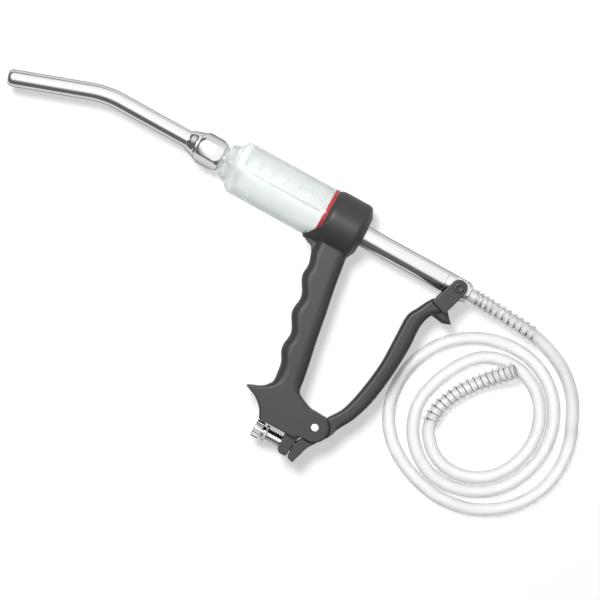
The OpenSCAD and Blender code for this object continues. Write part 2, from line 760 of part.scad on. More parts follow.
// Hollow rod with a spigot for the piston at its front and a socket at its rear
module piston_rod() {
    color("#d7dade") placed() difference() {
        union() {
            disc_x(rod_r, piston_rear, rod_end_front);
            disc_x(spigot_in_rod_r, rod_front, piston_rear + fit);
        }
        disc_x(valve_hole_r, rod_front - overrun, rod_end_front + overrun);
        disc_x(spigot_in_rod_r + fit, rod_end_front - spigot_in_rod, rod_end_front + overrun);
    }
}

// Piston with two seal grooves and the inlet valve's chamber
module piston() {
    color("#e6e6e0") placed() difference() {
        disc_x(bore_r - 2 * snug, piston_front, piston_rear);
        disc_x(spigot_in_rod_r + fit, rod_front, piston_rear + overrun);
        disc_x(chamber_r, cage_rear - fit, rod_front + fit);
        disc_x(cage_r + fit, piston_front - overrun, cage_rear);
        for (x = seal_places) ring_x(bore_r - seal_deep, bore_r + overrun, x, x + seal_w);
    }
}
module piston_seals() {
    color("#8f1b22") placed()
        for (x = seal_places)
            ring_x(bore_r - seal_deep + fit, bore_r - fit, x + fit, x + seal_w - fit);
}
module inlet_cage() {
    color("#c9ccd0") placed()
        ring_x(valve_spring_r - valve_wire, cage_r, piston_front, cage_rear);
}

// Rod end: slots for the trunnion screws, then the shoulder and the hose barb
module rod_end() {
    barbs = floor(barb_len / barb_pitch);
    barb_front = rod_end_rear + shoulder_back;
    ridges = [
        for (i = [0 : barbs - 1], end = [0, 1])
            [barb_r + (end == 0 ? barb_ridge : 0), barb_front + (i + end) * barb_len / barbs]
    ];
    color("#d7dade") placed() difference() {
        union() {
            disc_x(spigot_in_rod_r, rod_end_front - spigot_in_rod, rod_end_front + fit);
            disc_x(rod_r, rod_end_front, rod_end_rear);
            turned(concat(
                [[0, rod_end_rear - fit], [shoulder_r, rod_end_rear - fit], [shoulder_r, barb_front]],
                ridges,
                [[0, barb_front + barb_len]]
            ));
        }
        disc_x(valve_hole_r, rod_end_front - spigot_in_rod - overrun, rod_end_rear);
        disc_x(barb_r - barb_wall, rod_end_rear - overrun, barb_front + barb_len + overrun);
        for (side = [0, 1]) mirror([0, 0, side]) translate([trunnion.x, trunnion.y, slot_floor]) {
            cylinder(r = trunnion_slot_r, h = rod_d);
            translate([-trunnion_slot_r, 0, 0]) cube([2 * trunnion_slot_r, rod_d, rod_d]);
        }
    }
}

// Dose screw, its thumb head and its lock nut
module dose_screw() {
    color("#d7dade") placed() translate([0, dose_y, 0]) turned([
        [0, thumb_rear - thumb_t / 2], [dose_neck_r, thumb_rear - thumb_t / 2], [dose_neck_r, thumb_rear],
        [dose_r, thumb_rear], [dose_r, dose_tip - dose_r * dose_point_share], [dose_neck_r, dose_tip],
        [0, dose_tip]
    ]);
}
module thumb_head() {
    front = thumb_rear - thumb_t;
    thumb_r = thumb_d / 2;
    color("#d7dade") placed() translate([0, dose_y, 0]) difference() {
        turned([
            [0, front], [thumb_r - thumb_edge, front], [thumb_r, front + thumb_edge],
            [thumb_r, thumb_rear - thumb_edge], [thumb_r - thumb_edge, thumb_rear], [0, thumb_rear]
        ]);
        disc_x(dose_neck_r + fit, thumb_rear - thumb_t / 2, thumb_rear + overrun);
    }
}
module lock_nut() {
    color("#d7dade") placed() translate([0, dose_y, 0])
        ring_x(dose_r + fit, lock_d / 2, lock_place, lock_place + lock_t);
}

// Hose: the lead stretch behind the rod
function lead_end() = let(start = coil_point(0)) start - lead_gap * [sin(coil_start), -cos(coil_start), 0];
module hose_lead() {
    path = curve(lead_route, lead_steps);
    color("#e9eeec", 0.7) placed() swept(path, [for (p = path) [0, 0, 1]], hose_r, lead_sides);
}

// Hose: the flat coil and its free end
function loop_radius(a) = coil_r * curve_point(coil_radius_shares, a / coil_radius_step);
function coil_height(a) = let(rise = blend((a + tail_rise_sweep - coil_sweep) / tail_rise_sweep))
    floor_z + hose_r + (guard_out - hose_r) * rise;
function coil_point(a) = let(p = coil_centre + polar(loop_radius(a), coil_start - a))
    [p.x, p.y, coil_height(a)];
function tail_path() = let(
    route = concat([coil_point(coil_sweep - 360 / rings_per_loop), coil_point(coil_sweep)], tail_points),
    path = curve(route, tail_steps_each)
) [for (i = [tail_steps_each + 1 : len(path) - 1]) path[i]];
module hose_coil() {
    step = 360 / rings_per_loop;
    path = concat(
        [for (a = [0 : step : coil_sweep - step / 2]) coil_point(a)],
        [coil_point(coil_sweep)],
        tail_path()
    );
    color("#e9eeec", 0.7) placed() swept(path, [for (p = path) [0, 0, 1]], hose_r, coil_sides);
    echo(least_gap_of_coil = least_gap(path, rings_per_loop / 2) - hose_d);
}

// Anti-kink springs: a wire wound round a stretch of the hose
function wound(path, turns) = let(n = len(path) - 1, count = turns * rings_per_curl) [
    for (i = [0 : count])
        let(
            p = curve_point(path, n * i / count),
            q = curve_point(path, min(n, n * i / count + nudge)),
            o = curve_point(path, max(0, n * i / count - nudge)),
            t = unit(q - o),
            u = unit(cross(t, [0, 0, 1])),
            v = cross(t, u),
            a = 360 * i / rings_per_curl
        ) p + guard_r * (cos(a) * u + sin(a) * v)
];
module guard(path, turns) {
    n = len(path) - 1;
    wire = wound(path, turns);
    count = len(wire) - 1;
    outward = [for (i = [0 : count]) wire[i] - curve_point(path, n * i / count)];
    swept(wire, outward, guard_wire / 2, wire_sides);
    echo(least_gap_of_guard = least_gap(wire, rings_per_curl - 2) - guard_wire);
}
module rod_guard() {
    path = [
        for (i = [0 : guard_steps])
            curve_point(lead_route, rod_guard_from + (rod_guard_to - rod_guard_from) * i / guard_steps)
    ];
    color("#c9ccd0") placed() guard(path, rod_guard_curls);
}
module end_guard() color("#c9ccd0") placed() guard(tail_path(), end_guard_curls);

handle();
barrel();
barrel_ring();
barrel_gasket();
nozzle();
nozzle_washer();
coupling_nut();
outlet_ball();
outlet_spring();
rod_bush();
rod_wiper();
pivot_pin();
return_spring();
lever();
trunnion_screws();
piston_rod();
piston();
piston_seals();
inlet_ball();
inlet_spring();
inlet_cage();
rod_end();
dose_screw();
thumb_head();
lock_nut();
hose_lead();
hose_coil();
rod_guard();
end_guard();
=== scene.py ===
# Looks of a pistol-grip livestock drencher that lies on its side, with its hose coiled beside it.
# Pieces are modelled in the part's construction frame, in millimetres: X runs along the barrel from nozzle
# to hose with 0 at the collar's mouth, Y points away from the grip, and Z is 0 on the barrel's axis.

import math

import bmesh
import bpy
from mathutils import Matrix, Vector


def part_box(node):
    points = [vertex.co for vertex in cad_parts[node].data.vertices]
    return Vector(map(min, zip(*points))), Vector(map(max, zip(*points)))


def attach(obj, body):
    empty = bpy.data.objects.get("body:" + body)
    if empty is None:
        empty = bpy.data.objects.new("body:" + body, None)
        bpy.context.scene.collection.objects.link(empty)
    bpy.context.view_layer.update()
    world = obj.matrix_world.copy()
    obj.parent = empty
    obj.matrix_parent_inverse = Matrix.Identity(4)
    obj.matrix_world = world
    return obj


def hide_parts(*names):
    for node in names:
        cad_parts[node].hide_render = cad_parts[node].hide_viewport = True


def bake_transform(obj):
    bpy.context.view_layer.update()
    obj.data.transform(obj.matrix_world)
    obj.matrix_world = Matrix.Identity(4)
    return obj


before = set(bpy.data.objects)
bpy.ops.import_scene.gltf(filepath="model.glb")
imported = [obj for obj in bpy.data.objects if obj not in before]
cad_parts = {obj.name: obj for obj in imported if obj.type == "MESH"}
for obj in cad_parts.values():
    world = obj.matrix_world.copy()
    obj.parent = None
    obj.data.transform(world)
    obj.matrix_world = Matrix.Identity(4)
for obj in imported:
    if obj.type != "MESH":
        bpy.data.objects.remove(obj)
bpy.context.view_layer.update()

scene = bpy.context.scene
scene.view_settings.view_transform = "Standard"

# The construction frame, found from the red ring, which ends at the collar's mouth
MM = 0.001
ring_low, ring_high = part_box("barrel_ring")
ORIGIN = Vector((ring_high.x, (ring_low.y + ring_high.y) / 2, (ring_low.z + ring_high.z) / 2))
TO_PART = Matrix.Translation(ORIGIN) @ Matrix.Scale(MM, 4)
TO_MM = TO_PART.inverted()
ALONG_X = Matrix.Rotation(math.pi / 2, 4, "Y")


def low(node):
    return TO_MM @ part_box(node)[0]


def high(node):
    return TO_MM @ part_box(node)[1]


def middle(node):
    return (low(node) + high(node)) / 2


def in_part(point):
    return TO_PART @ Vector(point)


# Sizes read from the frame
BARREL_R = high("barrel").y
COLLAR_R = high("handle").z
ROD_R = high("piston_rod").y
PIVOT = middle("pivot_pin").xy
PIN_R = high("pivot_pin").x - PIVOT.x
TRUNNION = middle("trunnion_screws").xy
ARM = (TRUNNION - PIVOT).length
REST_ANGLE = math.atan2(TRUNNION.x - PIVOT.x, TRUNNION.y - PIVOT.y)
GRIP_DROP = -PIVOT.y
PIVOT_BACK = PIVOT.x
DOSE_Y = middle("dose_screw").y
DOSE_R = high("dose_screw").y - DOSE_Y
DOSE_DROP = PIVOT.y - DOSE_Y
THUMB_R = high("thumb_head").y - DOSE_Y

# Camera above the flat side, turned so that the barrel slopes as in the photograph
CAMERA_LENS = 150
CAMERA_SENSOR = 36
CAMERA_HEIGHT = 1500
CAMERA_TURN = math.radians(28.9)
PICTURE_CENTRE = (10.1, -52.1)


def add_camera():
    data = bpy.data.cameras.new("camera")
    data.lens = CAMERA_LENS
    data.sensor_width = CAMERA_SENSOR
    camera = bpy.data.objects.new("camera", data)
    scene.collection.objects.link(camera)
    camera.location = in_part((*PICTURE_CENTRE, CAMERA_HEIGHT))
    camera.rotation_euler = (0, 0, CAMERA_TURN)
    scene.camera = camera


add_camera()


# Finishes

CLOUD_SCALE = 45
CLOUD_DETAIL = 4
GRAIN_DETAIL = 3
GRAIN_DEPTH = 0.1
# How soon the painted edge shade of the clear plastics sets in
EDGE_SHADE_BLEND = 0.18


def finish(
    name, colour, roughness, metallic=0.0, tone=0.05, spread=0.05, grain=0.0, grain_scale=500,
    edge=1.0, shine=0.5,
):
    """A finish whose tone and roughness vary a little over the piece, with a fine grain, and with painted
    shade in its reflection at grazing edges where edge is below 1.
    """
    material = bpy.data.materials.new(name)
    material.use_nodes = True
    nodes, links = material.node_tree.nodes, material.node_tree.links
    shader = nodes["Principled BSDF"]
    shader.inputs["Metallic"].default_value = metallic
    # An edge below 1 darkens the reflection at grazing angles: painted shade
    shader.inputs["Specular Tint"].default_value = (edge, edge, edge, 1)
    shader.inputs["Specular IOR Level"].default_value = shine
    places = nodes.new("ShaderNodeTexCoord")
    clouds = nodes.new("ShaderNodeTexNoise")
    clouds.inputs["Scale"].default_value = CLOUD_SCALE
    clouds.inputs["Detail"].default_value = CLOUD_DETAIL
    links.new(places.outputs["Object"], clouds.inputs["Vector"])
    tones = nodes.new("ShaderNodeMix")
    tones.name = "tones"
    tones.data_type = "RGBA"
    tones.inputs["A"].default_value = (*[c * (1 - tone) for c in colour], 1)
    tones.inputs["B"].default_value = (*[min(c * (1 + tone), 1) for c in colour], 1)
    links.new(clouds.outputs["Fac"], tones.inputs["Factor"])
    links.new(tones.outputs["Result"], shader.inputs["Base Color"])
    noise = nodes.new("ShaderNodeTexNoise")
    noise.inputs["Scale"].default_value = grain_scale
    noise.inputs["Detail"].default_value = GRAIN_DETAIL
    links.new(places.outputs["Object"], noise.inputs["Vector"])
    varied = nodes.new("ShaderNodeMapRange")
    varied.inputs["To Min"].default_value = roughness - spread
    varied.inputs["To Max"].default_value = roughness + spread
    links.new(noise.outputs["Fac"], varied.inputs["Value"])
    links.new(varied.outputs["Result"], shader.inputs["Roughness"])
    if grain:
        bump = nodes.new("ShaderNodeBump")
        bump.inputs["Strength"].default_value = grain
        bump.inputs["Distance"].default_value = GRAIN_DEPTH * MM
        links.new(noise.outputs["Fac"], bump.inputs["Height"])
        links.new(bump.outputs["Normal"], shader.inputs["Normal"])
    return material


def see_through(name, colour, edge_shade_colour, roughness, clearness, ior, shade):
    """A milky clear plastic with painted shade at its edges, standing in for the longer path through the wall
    there, that lets lamp light through to what is behind it.
    """
    material = finish(name, colour, roughness, tone=0.02, spread=0.03, grain_scale=120)
    nodes, links = material.node_tree.nodes, material.node_tree.links
    shader, output = nodes["Principled BSDF"], nodes["Material Output"]
    shader.inputs["Transmission Weight"].default_value = clearness
    shader.inputs["IOR"].default_value = ior
    # Painted shade: the colour darkens towards the edge colour where the surface turns away from view
    facing = nodes.new("ShaderNodeLayerWeight")
    facing.inputs["Blend"].default_value = EDGE_SHADE_BLEND
    depth = nodes.new("ShaderNodeMix")
    depth.data_type = "RGBA"
    links.new(nodes["tones"].outputs["Result"], depth.inputs["A"])
    depth.inputs["B"].default_value = (*edge_shade_colour, 1)
    links.new(facing.outputs["Facing"], depth.inputs["Factor"])
    links.new(depth.outputs["Result"], shader.inputs["Base Color"])
    rays = nodes.new("ShaderNodeLightPath")
    open_air = nodes.new("ShaderNodeBsdfTransparent")
    open_air.inputs["Color"].default_value = (shade, shade, shade, 1)
    mixed = nodes.new("ShaderNodeMixShader")
    links.new(rays.outputs["Is Shadow Ray"], mixed.inputs[0])
    links.new(shader.outputs[0], mixed.inputs[1])
    links.new(open_air.outputs[0], mixed.inputs[2])
    links.new(mixed.outputs[0], output.inputs["Surface"])
    return material


satin_black = finish(
    "satin_black", (0.052, 0.052, 0.0525), 0.42, tone=0.14, grain=0.12, grain_scale=900, shine=0.3
)
# Chrome's reflection is painted darker at its grazing edges: painted shade
chrome = finish("chrome", (0.9, 0.905, 0.91), 0.15, metallic=1, spread=0.03, grain_scale=90, edge=0.0)
guard_wire = finish("guard_wire", (0.92, 0.925, 0.93), 0.16, metallic=1, spread=0.04, grain_scale=300)
# The second colour of each clear plastic is its painted edge shade
clear_barrel = see_through("clear_barrel", (0.84, 0.868, 0.86), (0.79, 0.815, 0.81), 0.26, 0.72, 1.3, 0.8)
clear_hose = see_through("clear_hose", (0.97, 0.974, 0.974), (0.42, 0.43, 0.435), 0.24, 0.66, 1.3, 0.6)
scale_white = finish("scale_white", (0.93, 0.94, 0.94), 0.4)
line_grey = finish("line_grey", (0.36, 0.38, 0.38), 0.4)
ring_red = finish("ring_red", (0.5, 0.04, 0.05), 0.2)
seal_red = finish("seal_red", (0.4, 0.03, 0.035), 0.55, grain=0.1)
black_rubber = finish("black_rubber", (0.02, 0.02, 0.02), 0.65, grain=0.2)
natural_plastic = finish("natural_plastic", (0.82, 0.82, 0.79), 0.42)
bright_steel = finish("bright_steel", (0.8, 0.8, 0.81), 0.14, metallic=1)
spring_steel = finish("spring_steel", (0.58, 0.59, 0.6), 0.28, metallic=1)
pin_steel = finish("pin_steel", (0.9, 0.9, 0.89), 0.3, metallic=1)
dark_steel = finish("dark_steel", (0.05, 0.05, 0.053), 0.36, metallic=1, grain=0.1)

INSIDE_FINISHES = {
    "barrel_gasket": black_rubber,
    "rod_wiper": black_rubber,
    "nozzle_washer": natural_plastic,
    "rod_bush": natural_plastic,
    "piston": natural_plastic,
    "piston_seals": seal_red,
    "outlet_ball": bright_steel,
    "inlet_ball": bright_steel,
    "inlet_cage": bright_steel,
    "return_spring": spring_steel,
}
for node, material in INSIDE_FINISHES.items():
    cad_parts[node].data.materials.clear()
    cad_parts[node].data.materials.append(material)


# Modelling helpers

TURN_STEPS = 72
ROUND_STEPS = 4
OUTLINE_STEPS = 6
WELD = 1e-4
CREASE = math.radians(32)
FIT = 0.05
LOOSE_FIT = 0.1
OVERCUT = 20
SHORT_OVERCUT = 2


def ease(t):
    t = min(max(t, 0.0), 1.0)
    return t * t * (3 - 2 * t)


def curve_at(points, t):
    """A point on the smooth curve through given points; whole values of t fall on the points."""
    i = min(int(t), len(points) - 2)
    t -= i
    b, c = Vector(points[i]), Vector(points[i + 1])
    a = Vector(points[i - 1]) if i > 0 else 2 * b - c
    d = Vector(points[i + 2]) if i + 2 < len(points) else 2 * c - b
    return (2 * b + (c - a) * t + (2 * a - 5 * b + 4 * c - d) * t**2 + (3 * b - a - 3 * c + d) * t**3) / 2


def curve(points, steps):
    last = len(points) - 1
    return [curve_at(points, k / steps) for k in range(last * steps)] + [Vector(points[last])]


def between(table, key):
    """The value at key in a table of (key, value) pairs, straight between its entries."""
    rows = sorted(table)
    if key <= rows[0][0]:
        return rows[0][1]
    for (k0, v0), (k1, v1) in zip(rows, rows[1:]):
        if key <= k1:
            return v0 + (v1 - v0) * (key - k0) / max(k1 - k0, 1e-9)
    return rows[-1][1]


def loop_edges(bm, ring):
    return [bm.edges.get(pair) or bm.edges.new(pair) for pair in zip(ring, ring[1:] + ring[:1])]


def bridged(bm, rings, closed=False):
    """Walls from each ring of vertices to the next."""
    pairs = list(zip(rings, rings[1:]))
    if closed:
        pairs.append((rings[-1], rings[0]))
    for one, two in pairs:
        bmesh.ops.bridge_loops(bm, edges=loop_edges(bm, one) + loop_edges(bm, two))


def capped(bm, ring):
    bmesh.ops.contextual_create(bm, geom=loop_edges(bm, ring))


def turned(bm, profile, closed=True, steps=TURN_STEPS):
    """A turned form on the barrel's axis. A profile point is x, radius and how far its corner is rounded."""
    points = [bm.verts.new((x, r, 0)) for x, r, _ in profile]
    chain = list(zip(points, points[1:]))
    if closed:
        chain.append((points[-1], points[0]))
    for pair in chain:
        bm.edges.new(pair)
    for point, (_, _, soft) in zip(points, profile):
        if soft:
            bmesh.ops.bevel(
                bm, geom=[point], affect="VERTICES", offset=soft, segments=ROUND_STEPS, profile=0.5,
                material=-1,
            )
    wires = [e for e in bm.edges if e.is_wire]
    ends = [v for v in bm.verts if any(e.is_wire for e in v.link_edges)]
    bmesh.ops.spin(
        bm, geom=ends + wires, cent=(0, 0, 0), axis=(1, 0, 0), angle=2 * math.pi, steps=steps, use_merge=True
    )
    bmesh.ops.remove_doubles(bm, verts=bm.verts, dist=WELD)
    return bm


def rod_x(bm, start, end, radius, y=0.0, steps=TURN_STEPS):
    place = Matrix.Translation(((start + end) / 2, y, 0)) @ ALONG_X
    bmesh.ops.create_cone(
        bm, cap_ends=True, segments=steps, radius1=radius, radius2=radius, depth=end - start, matrix=place
    )
    return bm


def rod_z(bm, place, start, end, radius, steps=TURN_STEPS):
    matrix = Matrix.Translation((place.x, place.y, (start + end) / 2))
    bmesh.ops.create_cone(
        bm, cap_ends=True, segments=steps, radius1=radius, radius2=radius, depth=end - start, matrix=matrix
    )
    return bm


def block(bm, lowest, highest, place=Matrix.Identity(4)):
    sizes = Vector(highest) - Vector(lowest)
    centre = (Vector(highest) + Vector(lowest)) / 2
    matrix = place @ Matrix.Translation(centre) @ Matrix.Diagonal((*sizes, 1))
    bmesh.ops.create_cube(bm, size=1, matrix=matrix)
    return bm


def plate(bm, outline, half, place=Matrix.Identity(4)):
    """A flat outline drawn out to both sides of the mid-plane."""
    corners = [bm.verts.new(place @ Vector((x, y, -half))) for x, y in outline]
    face = bm.faces.new(corners)
    drawn = bmesh.ops.extrude_face_region(bm, geom=[face])["geom"]
    moved = [g for g in drawn if isinstance(g, bmesh.types.BMVert)]
    bmesh.ops.translate(bm, verts=moved, vec=(0, 0, 2 * half))
    return bm


CORNER_STEPS = 7


def section(bm, row, half, place):
    """A rounded-rectangle ring across the form: row is y, low x, high x and the edge radius at both."""
    y, x_low, x_high, r_low, r_high = row
    count = 4 * (CORNER_STEPS + 1)
    ring = bmesh.ops.create_circle(bm, cap_ends=False, segments=count, radius=1)["verts"]
    for k, vert in enumerate(ring):
        corner, step = divmod(k, CORNER_STEPS + 1)
        angle = math.pi / 2 * (corner + step / CORNER_STEPS)
        on_high = corner in (0, 3)
        r = r_high if on_high else r_low
        x = x_high - r if on_high else x_low + r
        z = (half - r) if corner < 2 else (r - half)
        vert.co = place @ Vector((x + r * math.cos(angle), y, z + r * math.sin(angle)))
    return ring


def drawn_through(bm, rows, half, place=Matrix.Identity(4)):
    rings = [section(bm, row, half, place) for row in rows]
    bridged(bm, rings)
    capped(bm, rings[0])
    capped(bm, rings[-1])
    return bm


def tube(bm, path, radius, sides, bore=0.0):
    """A round tube along a path, hollow if a bore is given."""
    outer, inner = [], []
    last = len(path) - 1
    for i, point in enumerate(path):
        ahead = (path[min(i + 1, last)] - path[max(i - 1, 0)]).normalized()
        side = ahead.cross(Vector((0, 0, 1))).normalized()
        frame_at = Matrix((side, side.cross(ahead), ahead)).transposed().to_4x4()
        place = Matrix.Translation(point) @ frame_at
        outer.append(bmesh.ops.create_circle(bm, segments=sides, radius=radius, matrix=place)["verts"])
        if bore:
            inner.append(bmesh.ops.create_circle(bm, segments=sides, radius=bore, matrix=place)["verts"])
    bridged(bm, outer)
    if bore:
        bridged(bm, inner)
        bridged(bm, [outer[0], inner[0]])
        bridged(bm, [outer[-1], inner[-1]])
    else:
        capped(bm, outer[0])
        capped(bm, outer[-1])
    return bm


def joined(bm, other):
    """Adds another form to bm."""
    mesh = bpy.data.meshes.new("other")
    other.to_mesh(mesh)
    other.free()
    bm.from_mesh(mesh)
    bpy.data.meshes.remove(mesh)


def loose_object(bm, name):
    bmesh.ops.recalc_face_normals(bm, faces=bm.faces)
    mesh = bpy.data.meshes.new(name)
    bm.to_mesh(mesh)
    bm.free()
    thing = bpy.data.objects.new(name, mesh)
    scene.collection.objects.link(thing)
    return thing


def after_modifiers(thing, helpers=()):
    """The shape of an object with its modifiers, as a new bmesh; the object and its helpers are removed."""
    shaped = bmesh.new()
    graph = bpy.context.evaluated_depsgraph_get()
    shaped.from_mesh(thing.evaluated_get(graph).to_mesh())
    for old in (thing, *helpers):
        bpy.data.meshes.remove(old.data)
    return shaped


def cast(bm, grain_size, softening):
    """The overlapping forms of bm melted into one casting with soft inner and outer corners."""
    thing = loose_object(bm, "melt")
    melt = thing.modifiers.new("melt", "REMESH")
    melt.mode = "VOXEL"
    melt.voxel_size = grain_size
    shaped = after_modifiers(thing)
    for _ in range(softening):
        bmesh.ops.smooth_vert(
            shaped, verts=shaped.verts, factor=0.5, use_axis_x=True, use_axis_y=True, use_axis_z=True
        )
    return shaped


def carved(bm, *tools, operation="DIFFERENCE"):
    thing = loose_object(bm, "carve")
    helpers = [loose_object(tool, "tool") for tool in tools]
    for helper in helpers:
        cut = thing.modifiers.new("cut", "BOOLEAN")
        cut.operation = operation
        cut.solver = "EXACT"
        cut.object = helper
    return after_modifiers(thing, helpers)


def finished(bm, name, material, body, stands_for=(), crease=CREASE):
    """Turns a model into a piece that rides on a body and stands for CAD nodes."""
    bmesh.ops.remove_doubles(bm, verts=bm.verts, dist=WELD)
    bmesh.ops.recalc_face_normals(bm, faces=bm.faces)
    bmesh.ops.transform(bm, matrix=TO_PART, verts=bm.verts)
    mesh = bpy.data.meshes.new(name)
    bm.to_mesh(mesh)
    bm.free()
    mesh.shade_smooth()
    mesh.set_sharp_from_angle(angle=crease)
    mesh.materials.clear()
    mesh.materials.append(material)
    piece = bpy.data.objects.new(name, mesh)
    scene.collection.objects.link(piece)
    if body:
        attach(piece, body)
    if stands_for:
        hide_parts(*stands_for)
    return piece


# Hose: one milky tube, in a lead stretch from the rod's end and a flat coil that stays where it lies

HOSE_R = 4.0
HOSE_BORE = 2.6
HOSE_SIDES = 36
WIRE_R = 0.62
GUARD_ROOM = 0.06
GUARD_R = HOSE_R + GUARD_ROOM + WIRE_R
FLOOR_Z = -COLLAR_R
LEAD_START = low("hose_lead").x
LEAD_POINTS = [
    (110, -0.5, 0), (126, -1.5, -0.5), (143, -3, -2.5),
    (159, -7.3, -6), (173.5, -15.3, -10), (184.7, -27.3, -13),
]
COIL_CENTRE = Vector((144, -63))
COIL_START = 24
COIL_R = 52.5
COIL_RADIUS_SHARES = [
    1, 1.013, 1.008, 1.024, 1.114, 1.06, 0.952, 0.872, 0.779, 0.747, 0.8, 0.861, 0.819, 0.722, 0.752, 0.702,
    0.616, 0.583, 0.638, 0.69, 0.643,
]
COIL_RADIUS_STEP = 45
COIL_SWEEP = 888
TAIL_POINTS = [
    (114.7, -72.2, -12.7), (117.8, -61.5, -12.7), (123.2, -51.6, -12.6), (129.9, -42.5, -11.4),
    (137.2, -34.2, -8.6), (144.1, -26.7, -4.2),
]
TAIL_RISE = 90
TAIL_LEAD_IN = 15
COIL_STEP = 3
LEAD_STEPS = 14
TAIL_STEPS = 10
ROD_GUARD_SPAN = (0.25, 3.0)
ROD_GUARD_CURLS = 11
END_GUARD_CURLS = 16
CURL_STEPS = 22
WIRE_SIDES = 8
GUARD_STEPS = 12
GUARD_TAIL_STEPS = 3
LOOK_AHEAD = 0.02


def polar(radius, degrees):
    return Vector((math.cos(math.radians(degrees)), math.sin(math.radians(degrees)))) * radius


def coil_point(swept):
    rise = ease((swept + TAIL_RISE - COIL_SWEEP) / TAIL_RISE)
    shares = [(share, 0) for share in COIL_RADIUS_SHARES]
    radius = COIL_R * curve_at(shares, swept / COIL_RADIUS_STEP).x
    flat = COIL_CENTRE + polar(radius, COIL_START - swept)
    return Vector((*flat, FLOOR_Z + HOSE_R + (GUARD_R + WIRE_R - HOSE_R) * rise))


def tail_path(steps):
    """The free end of the hose after the coil's last point."""
    route = [tuple(coil_point(COIL_SWEEP - TAIL_LEAD_IN)), tuple(coil_point(COIL_SWEEP))] + TAIL_POINTS
    return curve(route, steps)[steps + 1:]


def wound(path, curls):
    """The wire of a spring that is wound round a path."""
    last = len(path) - 1
    count = curls * CURL_STEPS
    wire = []
    for k in range(count + 1):
        t = last * k / count
        before, after = max(0, t - LOOK_AHEAD), min(last, t + LOOK_AHEAD)
        ahead = (curve_at(path, after) - curve_at(path, before)).normalized()
        side = ahead.cross(Vector((0, 0, 1))).normalized()
        angle = 2 * math.pi * k / CURL_STEPS
        wire.append(
            curve_at(path, t) + GUARD_R * (math.cos(angle) * side + math.sin(angle) * ahead.cross(side))
        )
    return wire


coil_first = coil_point(0)
lead_route = [(LEAD_START, 0, 0)] + LEAD_POINTS + [tuple(coil_first)]
lead_path = curve(lead_route, LEAD_STEPS)
coil_path = [coil_point(a) for a in range(0, COIL_SWEEP, COIL_STEP)] + [coil_point(COIL_SWEEP)]
coil_path += tail_path(TAIL_STEPS)

hose_lead = finished(
    tube(bmesh.new(), lead_path, HOSE_R, HOSE_SIDES, HOSE_BORE), "lead_hose", clear_hose, None, ["hose_lead"]
)
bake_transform(hose_lead)
hose_coil = finished(
    tube(bmesh.new(), coil_path, HOSE_R, HOSE_SIDES, HOSE_BORE), "coiled_hose", clear_hose, "frame",
    ["hose_coil"],
)
guard_start, guard_end = ROD_GUARD_SPAN
guard_stretch = [
    curve_at(lead_route, guard_start + (guard_end - guard_start) * k / GUARD_STEPS)
    for k in range(GUARD_STEPS + 1)
]
rod_guard = finished(
    tube(bmesh.new(), wound(guard_stretch, ROD_GUARD_CURLS), WIRE_R, WIRE_SIDES), "rod_guard_wire",
    guard_wire, "rod", ["rod_guard"],
)
guard_tail = tail_path(GUARD_TAIL_STEPS)
end_guard = finished(
    tube(bmesh.new(), wound(guard_tail, END_GUARD_CURLS), WIRE_R, WIRE_SIDES), "end_guard_wire",
    guard_wire, "frame", ["end_guard"],
)


# Handle casting

GRIP_HALF = 10.0
GRIP_ROUND = 6.0
EAR_R = 9.0
FINGER_PITCH = 22.0
GROOVE_DEPTH = 2.8
CREST_SHARE = 0.336
CREST_FADE = 6
GRIP_ROWS = 90
FOOT_ROWS = 70
COLLAR_LEN = 21.6
COLLAR_BACK = 25.0
COLLAR_CHAMFER = (3.0, 1.1)
COLLAR_NOSE = 5
LIP_LEN = 7.8
LIP_IN = 2
LIP_TOP_SHARE = 0.38
WEB_SHARES = [
    (-1, -0.935), (-0.46, -1.05), (0.05, -1.133), (0.31, -1.36), (1.02, -1.44), (1.02, -0.7), (-1, -0.7)
]
WEB_HALF = 7.0
STOP_X = high("dose_screw").x + 0.3
LUG_REAR = STOP_X - 0.9
LUG_FRONT = LUG_REAR - 6.8
LUG_HALF = 9.0
BASE_DEPTH = DOSE_DROP - THUMB_R - 0.5
LUG_DEPTH = DOSE_DROP + 6
LUG_TOE = 2
RING_ROOM = 0.55
SOCKET_END = 15.5
BUSH_WALL = 2.55
BUSH_END = 22.3
ROD_ROOM = 0.4
WIPER_WALL = 2.05
WIPER_START = 23.1
BORE_CUT_REAR = COLLAR_BACK + 5
EAR_GAP_HALF = 4.8
EAR_GAP_ROOM = 0.9
HANDLE_GRAIN = 0.45
SOFTENING = 2

# Side view of the grip: shares of the pivot's distance back and of its drop
FRONT_SHARES = [(0.02, 0.09), (0.04, 0.211), (0.354, 0.85)]
PRONG_SHARES = [
    (0.354, 0.85), (0.36, 0.875), (0.35, 0.903), (0.28, 0.941), (0.18, 0.963), (0.122, 0.977),
    (0.19, 0.99), (0.275, 1.01), (0.36, 1.047), (0.4, 1.08), (0.415, 1.0985),
]
REAR_SHARES = [
    (0.385, 0.09), (0.42, 0.19), (0.459, 0.318), (0.516, 0.464), (0.56, 0.59), (0.617, 0.725),
    (0.652, 0.82), (0.66, 0.858), (0.69, 0.885), (0.76, 0.904), (0.877, 0.926),
]
FRONT_ROUNDS = [(0, 0.9), (0.85, 1), (0.903, 0.6), (0.941, 0.3), (0.977, 0.12), (1.01, 0.25), (1.098, 0.3)]
REAR_ROUNDS = [(0, 0.9), (0.82, 1), (0.885, 0.6), (0.92, 0.22), (1.098, 0.22)]
FRONT_TABLE = FRONT_SHARES[:2] + [tuple(p) for p in curve(PRONG_SHARES, OUTLINE_STEPS)]
REAR_TABLE = [tuple(p) for p in curve(REAR_SHARES, OUTLINE_STEPS)]


def swapped(table):
    return [(y, x) for x, y in table]


